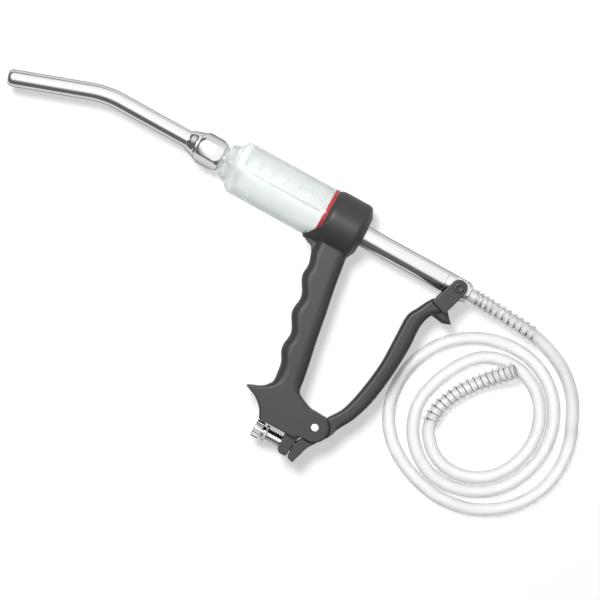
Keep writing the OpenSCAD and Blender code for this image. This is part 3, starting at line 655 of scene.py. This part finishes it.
def groove(share):
    top, bottom = FRONT_SHARES[1][1], FRONT_SHARES[2][1]
    t = (share - top) / (bottom - top)
    fade = max(0.0, min(1.0, CREST_FADE * t, CREST_FADE * (1 - t)))
    return GROOVE_DEPTH / 2 * fade * math.cos(2 * math.pi * (CREST_SHARE - share) * GRIP_DROP / FINGER_PITCH)


def grip_row(share):
    y = -GRIP_DROP * share
    front = between(swapped(FRONT_TABLE), share) * PIVOT_BACK - groove(share)
    below = y - PIVOT.y
    if share <= REAR_SHARES[-1][1]:
        rear = between(swapped(REAR_TABLE), share) * PIVOT_BACK
    elif abs(below) < EAR_R:
        rear = PIVOT.x + math.sqrt(EAR_R**2 - below**2)
    else:
        rear = LUG_REAR
    front_round = between(FRONT_ROUNDS, share) * GRIP_ROUND
    rear_round = between(REAR_ROUNDS, share) * GRIP_ROUND
    return (y, front, rear, front_round, rear_round)


def build_handle():
    top, knee, base = REAR_SHARES[0][1], FRONT_SHARES[2][1], FRONT_ROUNDS[-1][0]
    shares = [top + (knee - top) * k / GRIP_ROWS for k in range(GRIP_ROWS)]
    shares += [knee + (base - knee) * k / FOOT_ROWS for k in range(FOOT_ROWS + 1)]
    bm = drawn_through(bmesh.new(), [grip_row(s) for s in shares], GRIP_HALF)
    chamfer_len, chamfer_r = COLLAR_CHAMFER
    turned(
        bm,
        [
            (0, 0, 0), (0, COLLAR_R - chamfer_r, 0.5), (chamfer_len, COLLAR_R, 1.2),
            (COLLAR_LEN, COLLAR_R, 1.6), (COLLAR_BACK, ROD_R + COLLAR_NOSE, 0.8), (COLLAR_BACK, 0, 0),
        ],
        closed=False,
    )
    lip = turned(
        bmesh.new(), [(-LIP_LEN, 0, 0), (-LIP_LEN, COLLAR_R, 0), (LIP_IN, COLLAR_R, 0), (LIP_IN, 0, 0)],
        closed=False,
    )
    slope = Vector((0, -LIP_TOP_SHARE * COLLAR_R)) - Vector((-LIP_LEN, -COLLAR_R))
    bmesh.ops.bisect_plane(
        lip, geom=lip.verts[:] + lip.edges[:] + lip.faces[:], plane_co=(-LIP_LEN, -COLLAR_R, 0),
        plane_no=(-slope.y, slope.x, 0), clear_outer=True,
    )
    bmesh.ops.holes_fill(lip, edges=lip.edges, sides=0)
    joined(bm, lip)
    plate(bm, [(x * LIP_LEN, y * COLLAR_R) for x, y in WEB_SHARES], WEB_HALF)
    lug_low = PIVOT.y - LUG_DEPTH
    heel = LUG_TOE / 2
    plate(
        bm,
        [
            (LUG_FRONT, PIVOT.y - BASE_DEPTH + LUG_TOE), (LUG_FRONT, lug_low + LUG_TOE),
            (LUG_FRONT + LUG_TOE, lug_low), (LUG_REAR - heel, lug_low), (LUG_REAR, lug_low + heel),
            (LUG_REAR, DOSE_Y + LUG_TOE), (PIVOT.x - EAR_R / 2, PIVOT.y - EAR_R + heel),
            (PIVOT.x - EAR_R, PIVOT.y - EAR_R / 2),
        ],
        LUG_HALF,
    )
    bore = turned(
        bmesh.new(),
        [
            (-OVERCUT, 0, 0), (-OVERCUT, BARREL_R + RING_ROOM, 0), (0, BARREL_R + RING_ROOM, 0),
            (0, BARREL_R + LOOSE_FIT, 0), (SOCKET_END, BARREL_R + LOOSE_FIT, 0),
            (SOCKET_END, ROD_R + BUSH_WALL, 0), (BUSH_END, ROD_R + BUSH_WALL, 0),
            (BUSH_END, ROD_R + ROD_ROOM, 0), (WIPER_START, ROD_R + ROD_ROOM, 0),
            (WIPER_START, ROD_R + WIPER_WALL, 0), (BORE_CUT_REAR, ROD_R + WIPER_WALL, 0),
            (BORE_CUT_REAR, 0, 0),
        ],
        closed=False,
    )
    return carved(
        cast(bm, HANDLE_GRAIN, SOFTENING),
        bore,
        rod_z(bmesh.new(), PIVOT, -EAR_GAP_HALF, EAR_GAP_HALF, EAR_R + EAR_GAP_ROOM),
        rod_z(bmesh.new(), PIVOT, -OVERCUT, OVERCUT, PIN_R + FIT),
        rod_x(bmesh.new(), LUG_FRONT - SHORT_OVERCUT, LUG_REAR + SHORT_OVERCUT, DOSE_R + FIT, DOSE_Y),
    )


finished(build_handle(), "handle_casting", satin_black, "frame", ["handle"])


# Lever casting

LEVER_HALF = 8.0
LEVER_ROUND = 5.0
FORK_R = 5.1
FORK_HALF = ROD_R + 0.4
FORK_OUT = FORK_HALF + 3.6
CROTCH = 12.6
YOKE = 4.4
SPUR_HALF = 6.0
SPUR_ROUND = 2.6
HUB_R = 8.5
HUB_ANGLES = range(100, 225, 20)
HUB_HALF = 4.5
HUB_ROOM = 0.6
SPRING_POCKET_R = 5.95
SPRING_POCKET_HALF = 3.75
SPRING_LEG_ROOM = (10, 6, 3)
SCREW_HOLE_R = 2.25
LEVER_GRAIN = 0.4
ARM_STEPS = 14

# Rows along the arm: shares of the arm along it, on the finger side and on the palm side, then edge radii
ARM_SHARES = [
    (0.875, -0.05, 0.044, 0.3, 0.4), (0.84, -0.06, 0.018, 0.4, 0.5), (0.79, -0.069, 0.001, 0.5, 0.8),
    (0.72, -0.079, 0.008, 0.5, 0.9), (0.615, -0.047, 0.045, 0.5, 0.9), (0.46, 0.002, 0.084, 0.5, 0.9),
    (0.3, 0.029, 0.109, 0.5, 0.8), (0.175, 0.036, 0.108, 0.4, 0.7), (0.1, 0.018, 0.093, 0.3, 0.6),
    (0.06, 0.005, 0.086, 0.3, 0.5),
]
SPUR_SHARES = [(-0.02, 0.8), (0.022, 0.812), (0.07, 0.819), (0.106, 0.845), (0.041, 0.882), (-0.02, 0.875)]
TAIL_SHARES = [(0.239, 1.422), (0.34, 1.09), (0.476, 0.697)]
HUB_BACK_SHARES = [(0.081, 0.008), (0.086, 0.06), (0.07, 0.085)]
TAIL_TOE = 0.9
TAIL_LEAN = 3.2
ALONG_LEVER = Matrix.Translation((*PIVOT, 0)) @ Matrix.Rotation(-REST_ANGLE, 4, "Z")


def on_lever(share):
    return (ALONG_LEVER @ Vector((share[0] * ARM, share[1] * ARM, 0))).xy


def build_lever():
    rows = []
    held = [ARM_SHARES[0]] + ARM_SHARES + [ARM_SHARES[-1]]
    for k in range((len(ARM_SHARES) - 1) * ARM_STEPS + 1):
        along, finger, palm, r_finger, r_palm = curve_at(held, 1 + k / ARM_STEPS)
        rows.append((along * ARM, finger * ARM, palm * ARM, r_finger * LEVER_ROUND, r_palm * LEVER_ROUND))
    bm = drawn_through(bmesh.new(), rows, LEVER_HALF, ALONG_LEVER)
    low_back = [Vector((STOP_X + x * DOSE_DROP, PIVOT.y - y * DOSE_DROP)) for x, y in TAIL_SHARES]
    back = curve(low_back + [on_lever(s) for s in HUB_BACK_SHARES], OUTLINE_STEPS)
    hub = [PIVOT + polar(HUB_R, a) for a in HUB_ANGLES]
    lowest = low_back[0].y
    tail = [Vector((STOP_X, lowest + 2 * TAIL_TOE)), Vector((STOP_X + TAIL_TOE, lowest + TAIL_TOE))]
    tail += back + hub + [Vector((STOP_X + TAIL_LEAN, PIVOT.y - HUB_R)), Vector((STOP_X, DOSE_Y + DOSE_R))]
    plate(bm, tail, LEVER_HALF)
    spur = plate(bmesh.new(), [(x * ARM, y * ARM) for x, y in SPUR_SHARES], SPUR_HALF, ALONG_LEVER)
    rims = [e for e in spur.edges if abs(e.verts[0].co.z - e.verts[1].co.z) < SPUR_HALF]
    bmesh.ops.bevel(
        spur, geom=rims, affect="EDGES", offset=SPUR_ROUND, segments=ROUND_STEPS, profile=0.5, material=-1,
        clamp_overlap=True,
    )
    joined(bm, spur)
    block(bm, (-FORK_R, ARM - CROTCH - YOKE, -FORK_OUT), (FORK_R, ARM, FORK_OUT), ALONG_LEVER)
    rod_z(bm, TRUNNION, -FORK_OUT, FORK_OUT, FORK_R)
    reach = EAR_R + HUB_ROOM
    pocket = SPRING_POCKET_HALF
    leg_front, leg_below, leg_above = SPRING_LEG_ROOM
    return carved(
        cast(bm, LEVER_GRAIN, SOFTENING),
        block(
            bmesh.new(), (-4 * FORK_R, ARM - CROTCH, -FORK_HALF), (4 * FORK_R, ARM + 4 * FORK_R, FORK_HALF),
            ALONG_LEVER,
        ),
        rod_z(bmesh.new(), TRUNNION, -OVERCUT, OVERCUT, SCREW_HOLE_R),
        rod_z(bmesh.new(), PIVOT, -OVERCUT, OVERCUT, PIN_R + FIT),
        rod_z(bmesh.new(), PIVOT, HUB_HALF, OVERCUT, reach),
        rod_z(bmesh.new(), PIVOT, -OVERCUT, -HUB_HALF, reach),
        rod_z(bmesh.new(), PIVOT, -pocket, pocket, SPRING_POCKET_R),
        block(
            bmesh.new(), (PIVOT.x - leg_front, PIVOT.y - leg_below, -pocket),
            (PIVOT.x, PIVOT.y + leg_above, pocket),
        ),
    )


finished(build_lever(), "lever_casting", satin_black, "lever", ["lever"])


# Barrel with its scale

BORE_R = BARREL_R - 3
BARREL_BACK = high("barrel").x
SPIGOT_FRONT = low("barrel").x
NUT_REAR = high("coupling_nut").x
NECK_REAR = NUT_REAR + 2.4
SHOULDER_LEN = 9.6
SHOULDER_REAR = NECK_REAR + SHOULDER_LEN
BORE_FRONT = SHOULDER_REAR + 2
OUTLET_SEAT = BORE_FRONT - 4
SHOULDER_SHARES = [(0, 1), (0.19, 0.95), (0.44, 0.77), (1, 0.61)]
CHAMBER_R = 3.5
HOLE_R = 2.5
NECK_R = 7.6
SPIGOT_R = 6.6


def build_barrel():
    outside = [(SHOULDER_REAR - SHOULDER_LEN * s, BARREL_R * r, 0.5) for s, r in SHOULDER_SHARES]
    return turned(
        bmesh.new(),
        [(BARREL_BACK, BORE_R, 0), (BARREL_BACK, BARREL_R, 0.3)]
        + outside
        + [
            (NECK_REAR, NECK_R, 0.3), (NUT_REAR, NECK_R, 0.2), (NUT_REAR, SPIGOT_R, 0),
            (SPIGOT_FRONT, SPIGOT_R, 0.2), (SPIGOT_FRONT, CHAMBER_R, 0.2), (OUTLET_SEAT, CHAMBER_R, 0),
            (OUTLET_SEAT, HOLE_R, 0), (BORE_FRONT, HOLE_R, 0), (BORE_FRONT, BORE_R, 0.8),
        ],
    )


finished(build_barrel(), "barrel_tube", clear_barrel, "frame", ["barrel"])

ML_STEP = 1000 / (math.pi * BORE_R**2)
SCALE_ML = 30
MARK_W = 0.4
MARK_H = 0.08
TICK_ARC = 2.2
LONG_TICK_ARC = 5.0
NUMBER_EVERY = 5
DIGIT_SIZE = 3.6
DIGIT_UP = 5.6
LAST_DIGITS_BACK = 2.4
TICK_STEPS = 6


def tick(bm, x, start, end):
    """A thin raised arc across the barrel, from one distance along its skin to another."""
    turn = Matrix.Rotation(math.pi / 2 - start / BARREL_R, 4, "X")
    corners = [
        bm.verts.new(turn @ Vector((x + side * MARK_W / 2, BARREL_R + lift * MARK_H, 0)))
        for side, lift in ((-1, -1), (1, -1), (1, 1), (-1, 1))
    ]
    face = bm.faces.new(corners)
    bmesh.ops.spin(
        bm, geom=[*corners, *face.edges, face], cent=(0, 0, 0), axis=(-1, 0, 0),
        angle=(end - start) / BARREL_R, steps=TICK_STEPS,
    )


def digits(bm, words, x):
    text = bpy.data.curves.new("digits", "FONT")
    text.body = words
    text.size = DIGIT_SIZE
    text.align_x = "CENTER"
    carrier = bpy.data.objects.new("digits", text)
    scene.collection.objects.link(carrier)
    graph = bpy.context.evaluated_depsgraph_get()
    flat = bmesh.new()
    flat.from_mesh(carrier.evaluated_get(graph).to_mesh())
    bpy.data.curves.remove(text)
    bmesh.ops.solidify(flat, geom=flat.faces[:], thickness=MARK_H)
    for vert in flat.verts:
        angle = (vert.co.y + DIGIT_UP) / BARREL_R
        radius = BARREL_R + vert.co.z + MARK_H / 2
        vert.co = Vector((x + vert.co.x, radius * math.sin(angle), radius * math.cos(angle)))
    joined(bm, flat)


def build_scale():
    bm = bmesh.new()
    for ml in range(1, SCALE_ML + 1):
        x = BORE_FRONT + ml * ML_STEP
        numbered = ml % NUMBER_EVERY == 0
        tick(bm, x, 0, LONG_TICK_ARC if numbered else TICK_ARC)
        if numbered:
            digits(bm, str(ml), x - LAST_DIGITS_BACK if ml == SCALE_ML else x)
    return bm


finished(build_scale(), "barrel_scale", scale_white, "frame")
line_front, line_rear = BORE_FRONT + ML_STEP - MARK_W, BORE_FRONT + SCALE_ML * ML_STEP + MARK_W
finished(
    block(
        bmesh.new(), (line_front, -MARK_W / 2, BARREL_R - MARK_H), (line_rear, MARK_W / 2, BARREL_R + MARK_H)
    ),
    "scale_line", line_grey, "frame",
)


# Valve springs, which in the real valves shorten between a fixed end and their ball; here they stay as built

SPRING_WIRE_R = 0.3
VALVE_SPRINGS = [("outlet_spring", 6, "frame", "outlet_valve"), ("inlet_spring", 3, "rod", "inlet_valve")]


def valve_spring(node, curls):
    """A compression spring whose turns lie closer at both ends."""
    front, rear = low(node).x + SPRING_WIRE_R, high(node).x - SPRING_WIRE_R
    radius = high(node).y - SPRING_WIRE_R
    count = curls * CURL_STEPS
    path = []
    for k in range(count + 1):
        t = k / count
        angle = 2 * math.pi * k / CURL_STEPS
        x = rear + (front - rear) * (ease(t) + t) / 2
        path.append(Vector((x, radius * math.cos(angle), radius * math.sin(angle))))
    return tube(bmesh.new(), path, SPRING_WIRE_R, WIRE_SIDES)


for node, curls, fixed, ball in VALVE_SPRINGS:
    spring = finished(valve_spring(node, curls), node + "_wire", spring_steel, None, [node])
    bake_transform(spring)


# Red ring at the collar's mouth

RING_R = high("barrel_ring").y
RING_FRONT = low("barrel_ring").x
finished(
    turned(
        bmesh.new(),
        [
            (RING_FRONT, BARREL_R + FIT, 0), (RING_FRONT, RING_R, 0.2),
            (0, RING_R, 0.2), (0, BARREL_R + FIT, 0),
        ],
    ),
    "red_ring", ring_red, "frame", ["barrel_ring"],
)


# Nozzle and its coupling nut

NOZZLE_R = 5.25
NOZZLE_BORE_R = 3.5
NOZZLE_BEND = math.radians(19.2)
NOZZLE_BEND_R = 60.0
NOZZLE_FRONT = 59.5
NUT_FRONT = NUT_REAR - 16.2
BEND_X = NUT_FRONT - 63.3
TIP_ROUND = 1.6
TIP_LEN = 3.4
TIP_STEPS = 8
TIP_LIP = 0.25
FLANGE_R = 6.4
FLANGE = (high("nozzle").x - 2, high("nozzle").x)
BEND_STEPS = 24


def build_nozzle():
    tangent = NOZZLE_BEND_R * math.tan(NOZZLE_BEND / 2)
    centre = Vector((BEND_X + tangent, -NOZZLE_BEND_R, 0))
    straight = NOZZLE_FRONT - tangent
    bm = bmesh.new()

    def ring(x, radius, bent=0.0):
        """A ring of the tube at x behind the bend, turned round the bend's centre."""
        turn = Matrix.Translation(centre) @ Matrix.Rotation(bent, 4, "Z") @ Matrix.Translation(-centre)
        place = turn @ Matrix.Translation((x, 0, 0)) @ ALONG_X
        return bmesh.ops.create_circle(bm, segments=TURN_STEPS, radius=radius, matrix=place)["verts"]

    bends = [NOZZLE_BEND * k / BEND_STEPS for k in range(BEND_STEPS + 1)]
    outside = [ring(FLANGE[1], FLANGE_R), ring(FLANGE[0], FLANGE_R), ring(FLANGE[0], NOZZLE_R)]
    outside += [ring(centre.x, NOZZLE_R, bend) for bend in bends]
    tip = centre.x - straight
    for k in range(TIP_STEPS + 1):
        angle = math.pi / 2 * k / TIP_STEPS
        x = tip + TIP_LEN * (1 - math.sin(angle))
        outside.append(ring(x, NOZZLE_R - TIP_ROUND * (1 - math.cos(angle)), NOZZLE_BEND))
    inside = [ring(tip + TIP_LIP, NOZZLE_BORE_R, NOZZLE_BEND)]
    inside += [ring(centre.x, NOZZLE_BORE_R, bend) for bend in reversed(bends)]
    inside.append(ring(FLANGE[1], NOZZLE_BORE_R))
    bridged(bm, outside + inside, closed=True)
    return bm


finished(build_nozzle(), "nozzle_tube", chrome, "frame", ["nozzle"])

NUT_CORNER = high("coupling_nut").y
NUT_CHAMFER = (3.6, 1.9)
NUT_EDGE = 0.7
NOSE_R = 8.0
NOSE_LIP = 0.6
NOSE_FLARE = (1.6, 1.3)
NOSE_STEP = (1.8, 0.5)
NOSE_BAND = 1.2
NOSE_GAP = 0.02


def build_nut():
    nose_front = low("coupling_nut").x
    long, deep = NUT_CHAMFER
    flare_len, flare_r = NOSE_FLARE
    step_len, step_r = NOSE_STEP
    bore_r = NOZZLE_R + FIT
    socket_r = SPIGOT_R + LOOSE_FIT
    back = NUT_FRONT - NOSE_GAP
    hexagon = rod_x(bmesh.new(), NUT_FRONT - long, NUT_REAR + long, NUT_CORNER, steps=6)
    corners = [e for e in hexagon.edges if abs(e.verts[0].co.x - e.verts[1].co.x) > 1]
    bmesh.ops.bevel(
        hexagon, geom=corners, affect="EDGES", offset=NUT_EDGE, segments=ROUND_STEPS, profile=0.5, material=-1
    )
    rounded = turned(
        bmesh.new(),
        [
            (NUT_FRONT, 0, 0), (NUT_FRONT, NUT_CORNER - deep, 0.4), (NUT_FRONT + long, NUT_CORNER, 1.5),
            (NUT_REAR - long, NUT_CORNER, 1.5), (NUT_REAR, NUT_CORNER - deep, 0.4), (NUT_REAR, 0, 0),
        ],
        closed=False,
    )
    bm = carved(hexagon, rounded, operation="INTERSECT")
    bore = turned(
        bmesh.new(),
        [
            (nose_front - SHORT_OVERCUT, 0, 0), (nose_front - SHORT_OVERCUT, bore_r, 0),
            (FLANGE[0], bore_r, 0), (FLANGE[0], socket_r, 0),
            (NUT_REAR + SHORT_OVERCUT, socket_r, 0), (NUT_REAR + SHORT_OVERCUT, 0, 0),
        ],
        closed=False,
    )
    bm = carved(bm, bore)
    turned(
        bm,
        [
            (nose_front, bore_r, 0), (nose_front, NOZZLE_R + NOSE_LIP, 0.3),
            (nose_front + flare_len, NOZZLE_R + flare_r, 0.5), (NUT_FRONT - step_len, NOSE_R - step_r, 0.5),
            (NUT_FRONT - NOSE_BAND, NOSE_R, 0.2), (back, NOSE_R, 0.1), (back, bore_r, 0),
        ],
    )
    return bm


finished(build_nut(), "union_nut", chrome, "frame", ["coupling_nut"])


# Piston rod and its hose end

ROD_FRONT = low("piston_rod").x
ROD_REAR = high("piston_rod").x
ROD_SHOULDER = ROD_FRONT + 3.5
SPIGOT_WALL_R = 4.0
ROD_END_REAR = LEAD_START - 1.5
BARB_BACK = high("rod_end").x
BARB_R = 2.55
BARB_TAPER = 0.2
BARB_WALL = 0.9
END_STEP = 0.9
ROD_SPIGOT_LEN = 5
TRUNNION_SLOT_R = 2.9
SLOT_FLOOR = 3.0

finished(
    turned(
        bmesh.new(),
        [
            (ROD_FRONT, HOLE_R, 0), (ROD_FRONT, SPIGOT_WALL_R, 0.2), (ROD_SHOULDER, SPIGOT_WALL_R, 0),
            (ROD_SHOULDER, ROD_R, 0.3), (ROD_REAR, ROD_R, 0.2), (ROD_REAR, SPIGOT_WALL_R + FIT, 0),
            (ROD_REAR - ROD_SPIGOT_LEN, SPIGOT_WALL_R + FIT, 0), (ROD_REAR - ROD_SPIGOT_LEN, HOLE_R, 0),
        ],
    ),
    "rod_tube", chrome, "rod", ["piston_rod"],
)


def build_rod_end():
    spigot_front = ROD_REAR - ROD_SPIGOT_LEN
    step_r = ROD_R - END_STEP
    barb_bore = BARB_R - BARB_WALL
    bm = turned(
        bmesh.new(),
        [
            (spigot_front, HOLE_R, 0), (spigot_front, SPIGOT_WALL_R, 0), (ROD_REAR, SPIGOT_WALL_R, 0),
            (ROD_REAR, ROD_R, 0.25), (ROD_END_REAR, ROD_R, 0.8), (ROD_END_REAR, step_r, 0),
            (LEAD_START, step_r, 0.3), (LEAD_START, BARB_R, 0), (BARB_BACK, BARB_R - BARB_TAPER, 0),
            (BARB_BACK, barb_bore, 0), (ROD_END_REAR, barb_bore, 0), (ROD_END_REAR, HOLE_R, 0),
        ],
    )
    slots = []
    for start, end in ((SLOT_FLOOR, 2 * ROD_R), (-2 * ROD_R, -SLOT_FLOOR)):
        slots.append(rod_z(bmesh.new(), TRUNNION, start, end, TRUNNION_SLOT_R))
        left, right = TRUNNION.x - TRUNNION_SLOT_R, TRUNNION.x + TRUNNION_SLOT_R
        slots.append(block(bmesh.new(), (left, 0, start), (right, 2 * ROD_R, end)))
    return carved(bm, *slots)


finished(build_rod_end(), "hose_end", chrome, "rod", ["rod_end"])


# Pins and screws

UPRIGHT = Matrix.Rotation(-math.pi / 2, 4, "Y")


def stood_up(bm, place):
    """Turns a form from the barrel's axis to an axis square to the flat side."""
    bmesh.ops.transform(bm, matrix=Matrix.Translation((place.x, place.y, 0)) @ UPRIGHT, verts=bm.verts)
    return bm


PIN_REACH = high("pivot_pin").z
PIN_CHAMFER = (0.6, 0.7)
PIN_SIDE = PIN_REACH - PIN_CHAMFER[0]
PIN_END_R = PIN_R - PIN_CHAMFER[1]
finished(
    stood_up(
        turned(
            bmesh.new(),
            [
                (-PIN_REACH, 0, 0), (-PIN_REACH, PIN_END_R, 0.5), (-PIN_SIDE, PIN_R, 0.2),
                (PIN_SIDE, PIN_R, 0.2), (PIN_REACH, PIN_END_R, 0.5), (PIN_REACH, 0, 0),
            ],
            closed=False,
        ),
        PIVOT,
    ),
    "hinge_pin", pin_steel, "frame", ["pivot_pin"],
)

SCREW_R = 2.2
SCREW_HEAD_R = 3.1
SCREW_REACH = 3.3
SCREW_TOP = high("trunnion_screws").z
SOCKET_R = 1.5
SOCKET_DEEP = 0.6
SOCKET_TAPER = 0.2


def build_trunnions():
    bm = bmesh.new()
    socket_floor = SCREW_TOP - SOCKET_DEEP
    for side in (1, -1):
        turned(
            bm,
            [
                (side * SCREW_REACH, 0, 0), (side * SCREW_REACH, SCREW_R, 0.3), (side * FORK_OUT, SCREW_R, 0),
                (side * FORK_OUT, SCREW_HEAD_R, 0.15), (side * SCREW_TOP, SCREW_HEAD_R, 0.35),
                (side * SCREW_TOP, SOCKET_R, 0.1), (side * socket_floor, SOCKET_R - SOCKET_TAPER, 0.1),
                (side * socket_floor, 0, 0),
            ],
            closed=False,
        )
    return stood_up(bm, TRUNNION)


finished(build_trunnions(), "fork_screws", dark_steel, "lever", ["trunnion_screws"])

THREAD_PITCH = 1.5
THREAD_DEEP = 0.5
THREAD_STEPS = 30
DOSE_TIP = high("dose_screw").x
THUMB_FRONT = low("thumb_head").x
THUMB_REAR = high("thumb_head").x
LOCK_R = high("lock_nut").y - DOSE_Y
THREAD_END = DOSE_TIP - 1.6
THREAD_LAP = 0.5
THREAD_WELD = 1e-3
POINT_LEN = 0.9
POINT_SHARE = 0.6


def build_dose_screw():
    bm = bmesh.new()
    turns = math.ceil((THREAD_END - THUMB_REAR) / THREAD_PITCH) + 1
    tooth = [(0, -THREAD_DEEP), (0.15, -THREAD_DEEP), (0.45, 0), (0.7, 0), (1, -THREAD_DEEP)]
    start = THUMB_REAR - 2 * THREAD_PITCH
    points = [bm.verts.new((start + share * THREAD_PITCH, DOSE_R + lift, 0)) for share, lift in tooth]
    wires = [bm.edges.new(pair) for pair in zip(points, points[1:])]
    bmesh.ops.spin(
        bm, geom=points + wires, cent=(0, 0, 0), axis=(1, 0, 0), dvec=(THREAD_PITCH / THREAD_STEPS, 0, 0),
        angle=2 * math.pi * (turns + 1), steps=THREAD_STEPS * (turns + 1),
    )
    bmesh.ops.remove_doubles(bm, verts=bm.verts, dist=THREAD_WELD)
    for x, way in ((THUMB_REAR - THREAD_LAP, -1), (THREAD_END, 1)):
        bmesh.ops.bisect_plane(
            bm, geom=bm.verts[:] + bm.edges[:] + bm.faces[:], plane_co=(x, 0, 0), plane_no=(way, 0, 0),
            clear_outer=True,
        )
    bmesh.ops.holes_fill(bm, edges=bm.edges, sides=0)
    core_r, core_front = DOSE_R - THREAD_DEEP, THREAD_END - THREAD_LAP
    turned(
        bm,
        [
            (core_front, 0, 0), (core_front, core_r, 0), (DOSE_TIP - POINT_LEN, core_r, 0.2),
            (DOSE_TIP, POINT_SHARE * DOSE_R, 0.2), (DOSE_TIP, 0, 0),
        ],
        closed=False,
    )
    bmesh.ops.translate(bm, verts=bm.verts, vec=(0, DOSE_Y, 0))
    return bm


finished(build_dose_screw(), "dose_thread", chrome, "dose_shank", ["dose_screw"])


def knurled(start, end, radius, edge, teeth, deep, hole=0.0):
    """A round head with a toothed rim, with a hole through it if asked for."""
    bm = bmesh.new()

    def ring(x, r, tooth_deep):
        place = Matrix.Translation((x, DOSE_Y, 0)) @ ALONG_X
        verts = bmesh.ops.create_circle(bm, segments=4 * teeth, radius=r, matrix=place)["verts"]
        for k, vert in enumerate(verts):
            if k % 4 in (0, 1):
                centre = Vector((x, DOSE_Y, 0))
                vert.co = centre + (vert.co - centre) * (1 - tooth_deep / r)
        return verts

    rings = [ring(start, radius - edge, 0), ring(start + edge, radius, deep)]
    rings += [ring(end - edge, radius, deep), ring(end, radius - edge, 0)]
    if hole:
        rings += [ring(end, hole, 0), ring(start, hole, 0)]
        bridged(bm, rings, closed=True)
    else:
        bridged(bm, rings)
        capped(bm, rings[0])
        capped(bm, rings[-1])
    return bm


KNURL_CREASE = math.radians(20)
finished(
    knurled(THUMB_FRONT, THUMB_REAR, THUMB_R, edge=0.5, teeth=24, deep=0.35),
    "dose_knob", chrome, "dose_head", ["thumb_head"], crease=KNURL_CREASE,
)
finished(
    knurled(low("lock_nut").x, high("lock_nut").x, LOCK_R, edge=0.3, teeth=28, deep=0.25, hole=DOSE_R + FIT),
    "lock_disc", chrome, "lock_ring", ["lock_nut"], crease=KNURL_CREASE,
)


# Floor, light and sky

FLOOR_SIZE = 8.0
FLOOR_COLOUR = 0.6
FLOOR_GLOW = 0.5
FLOOR_ROUGHNESS = 0.9
FLOOR_SHINE = 0.1
MIRRORED_SHARE = 0.35
LAMP_SIZE = 0.36
LAMP_POWER = 15.5
LAMP_FROM = Vector((-0.38, 0.23, 1.28))
SKY_LIGHT = 0.27
SKY_SEEN = 1.0
SKY_DARK = 0.12
SKY_BRIGHT = 1.0
BRIGHT_SIDE = Vector((0.3, 0.45, 0.84))
BRIGHT_FROM = 0.3
BRIGHT_TO = 0.68


def seen_rays(nodes, links, mirrored_share=1.0):
    """1 where the surroundings are seen, straight or through clear plastic, a share of that where they are
    mirrored, and 0 for the light that they give."""
    rays = nodes.new("ShaderNodeLightPath")
    mirrored = nodes.new("ShaderNodeMath")
    mirrored.operation = "MULTIPLY"
    mirrored.inputs[1].default_value = mirrored_share
    links.new(rays.outputs["Is Glossy Ray"], mirrored.inputs[0])
    direct = nodes.new("ShaderNodeMath")
    direct.operation = "MAXIMUM"
    links.new(rays.outputs["Is Camera Ray"], direct.inputs[0])
    links.new(rays.outputs["Is Transmission Ray"], direct.inputs[1])
    seen = nodes.new("ShaderNodeMath")
    seen.operation = "MAXIMUM"
    links.new(direct.outputs[0], seen.inputs[0])
    links.new(mirrored.outputs[0], seen.inputs[1])
    return seen.outputs[0]


def add_floor():
    bm = bmesh.new()
    bmesh.ops.create_grid(bm, x_segments=1, y_segments=1, size=FLOOR_SIZE / 2)
    mesh = bpy.data.meshes.new("floor")
    bm.to_mesh(mesh)
    bm.free()
    floor = bpy.data.objects.new("floor", mesh)
    scene.collection.objects.link(floor)
    material = bpy.data.materials.new("floor_white")
    material.use_nodes = True
    nodes, links = material.node_tree.nodes, material.node_tree.links
    shader = nodes["Principled BSDF"]
    shader.inputs["Base Color"].default_value = (FLOOR_COLOUR, FLOOR_COLOUR, FLOOR_COLOUR, 1)
    shader.inputs["Roughness"].default_value = FLOOR_ROUGHNESS
    shader.inputs["Specular IOR Level"].default_value = FLOOR_SHINE
    shader.inputs["Emission Color"].default_value = (1, 1, 1, 1)
    glow = nodes.new("ShaderNodeMath")
    glow.operation = "MULTIPLY"
    glow.inputs[1].default_value = FLOOR_GLOW
    links.new(seen_rays(nodes, links, MIRRORED_SHARE), glow.inputs[0])
    links.new(glow.outputs[0], shader.inputs["Emission Strength"])
    mesh.materials.append(material)


def add_lamp():
    data = bpy.data.lights.new("softbox", "AREA")
    data.shape = "DISK"
    data.size = LAMP_SIZE
    data.energy = LAMP_POWER
    lamp = bpy.data.objects.new("softbox", data)
    scene.collection.objects.link(lamp)
    target = in_part((*PICTURE_CENTRE, 0))
    lamp.location = target + LAMP_FROM
    lamp.rotation_euler = (-LAMP_FROM).to_track_quat("-Z", "Y").to_euler()


def add_sky():
    world = bpy.data.worlds.new("studio")
    scene.world = world
    world.use_nodes = True
    nodes, links = world.node_tree.nodes, world.node_tree.links
    background = nodes["Background"]
    strength = nodes.new("ShaderNodeMapRange")
    strength.inputs["To Min"].default_value = SKY_LIGHT
    strength.inputs["To Max"].default_value = SKY_SEEN
    links.new(seen_rays(nodes, links), strength.inputs["Value"])
    links.new(strength.outputs["Result"], background.inputs["Strength"])
    places = nodes.new("ShaderNodeTexCoord")
    towards = nodes.new("ShaderNodeVectorMath")
    towards.operation = "DOT_PRODUCT"
    towards.inputs[1].default_value = BRIGHT_SIDE.normalized()
    links.new(places.outputs["Generated"], towards.inputs[0])
    ramp = nodes.new("ShaderNodeMapRange")
    ramp.interpolation_type = "SMOOTHSTEP"
    ramp.inputs["From Min"].default_value = BRIGHT_FROM
    ramp.inputs["From Max"].default_value = BRIGHT_TO
    ramp.inputs["To Min"].default_value = SKY_DARK
    ramp.inputs["To Max"].default_value = SKY_BRIGHT
    links.new(towards.outputs["Value"], ramp.inputs["Value"])
    links.new(ramp.outputs["Result"], background.inputs["Color"])


add_floor()
add_lamp()
add_sky()
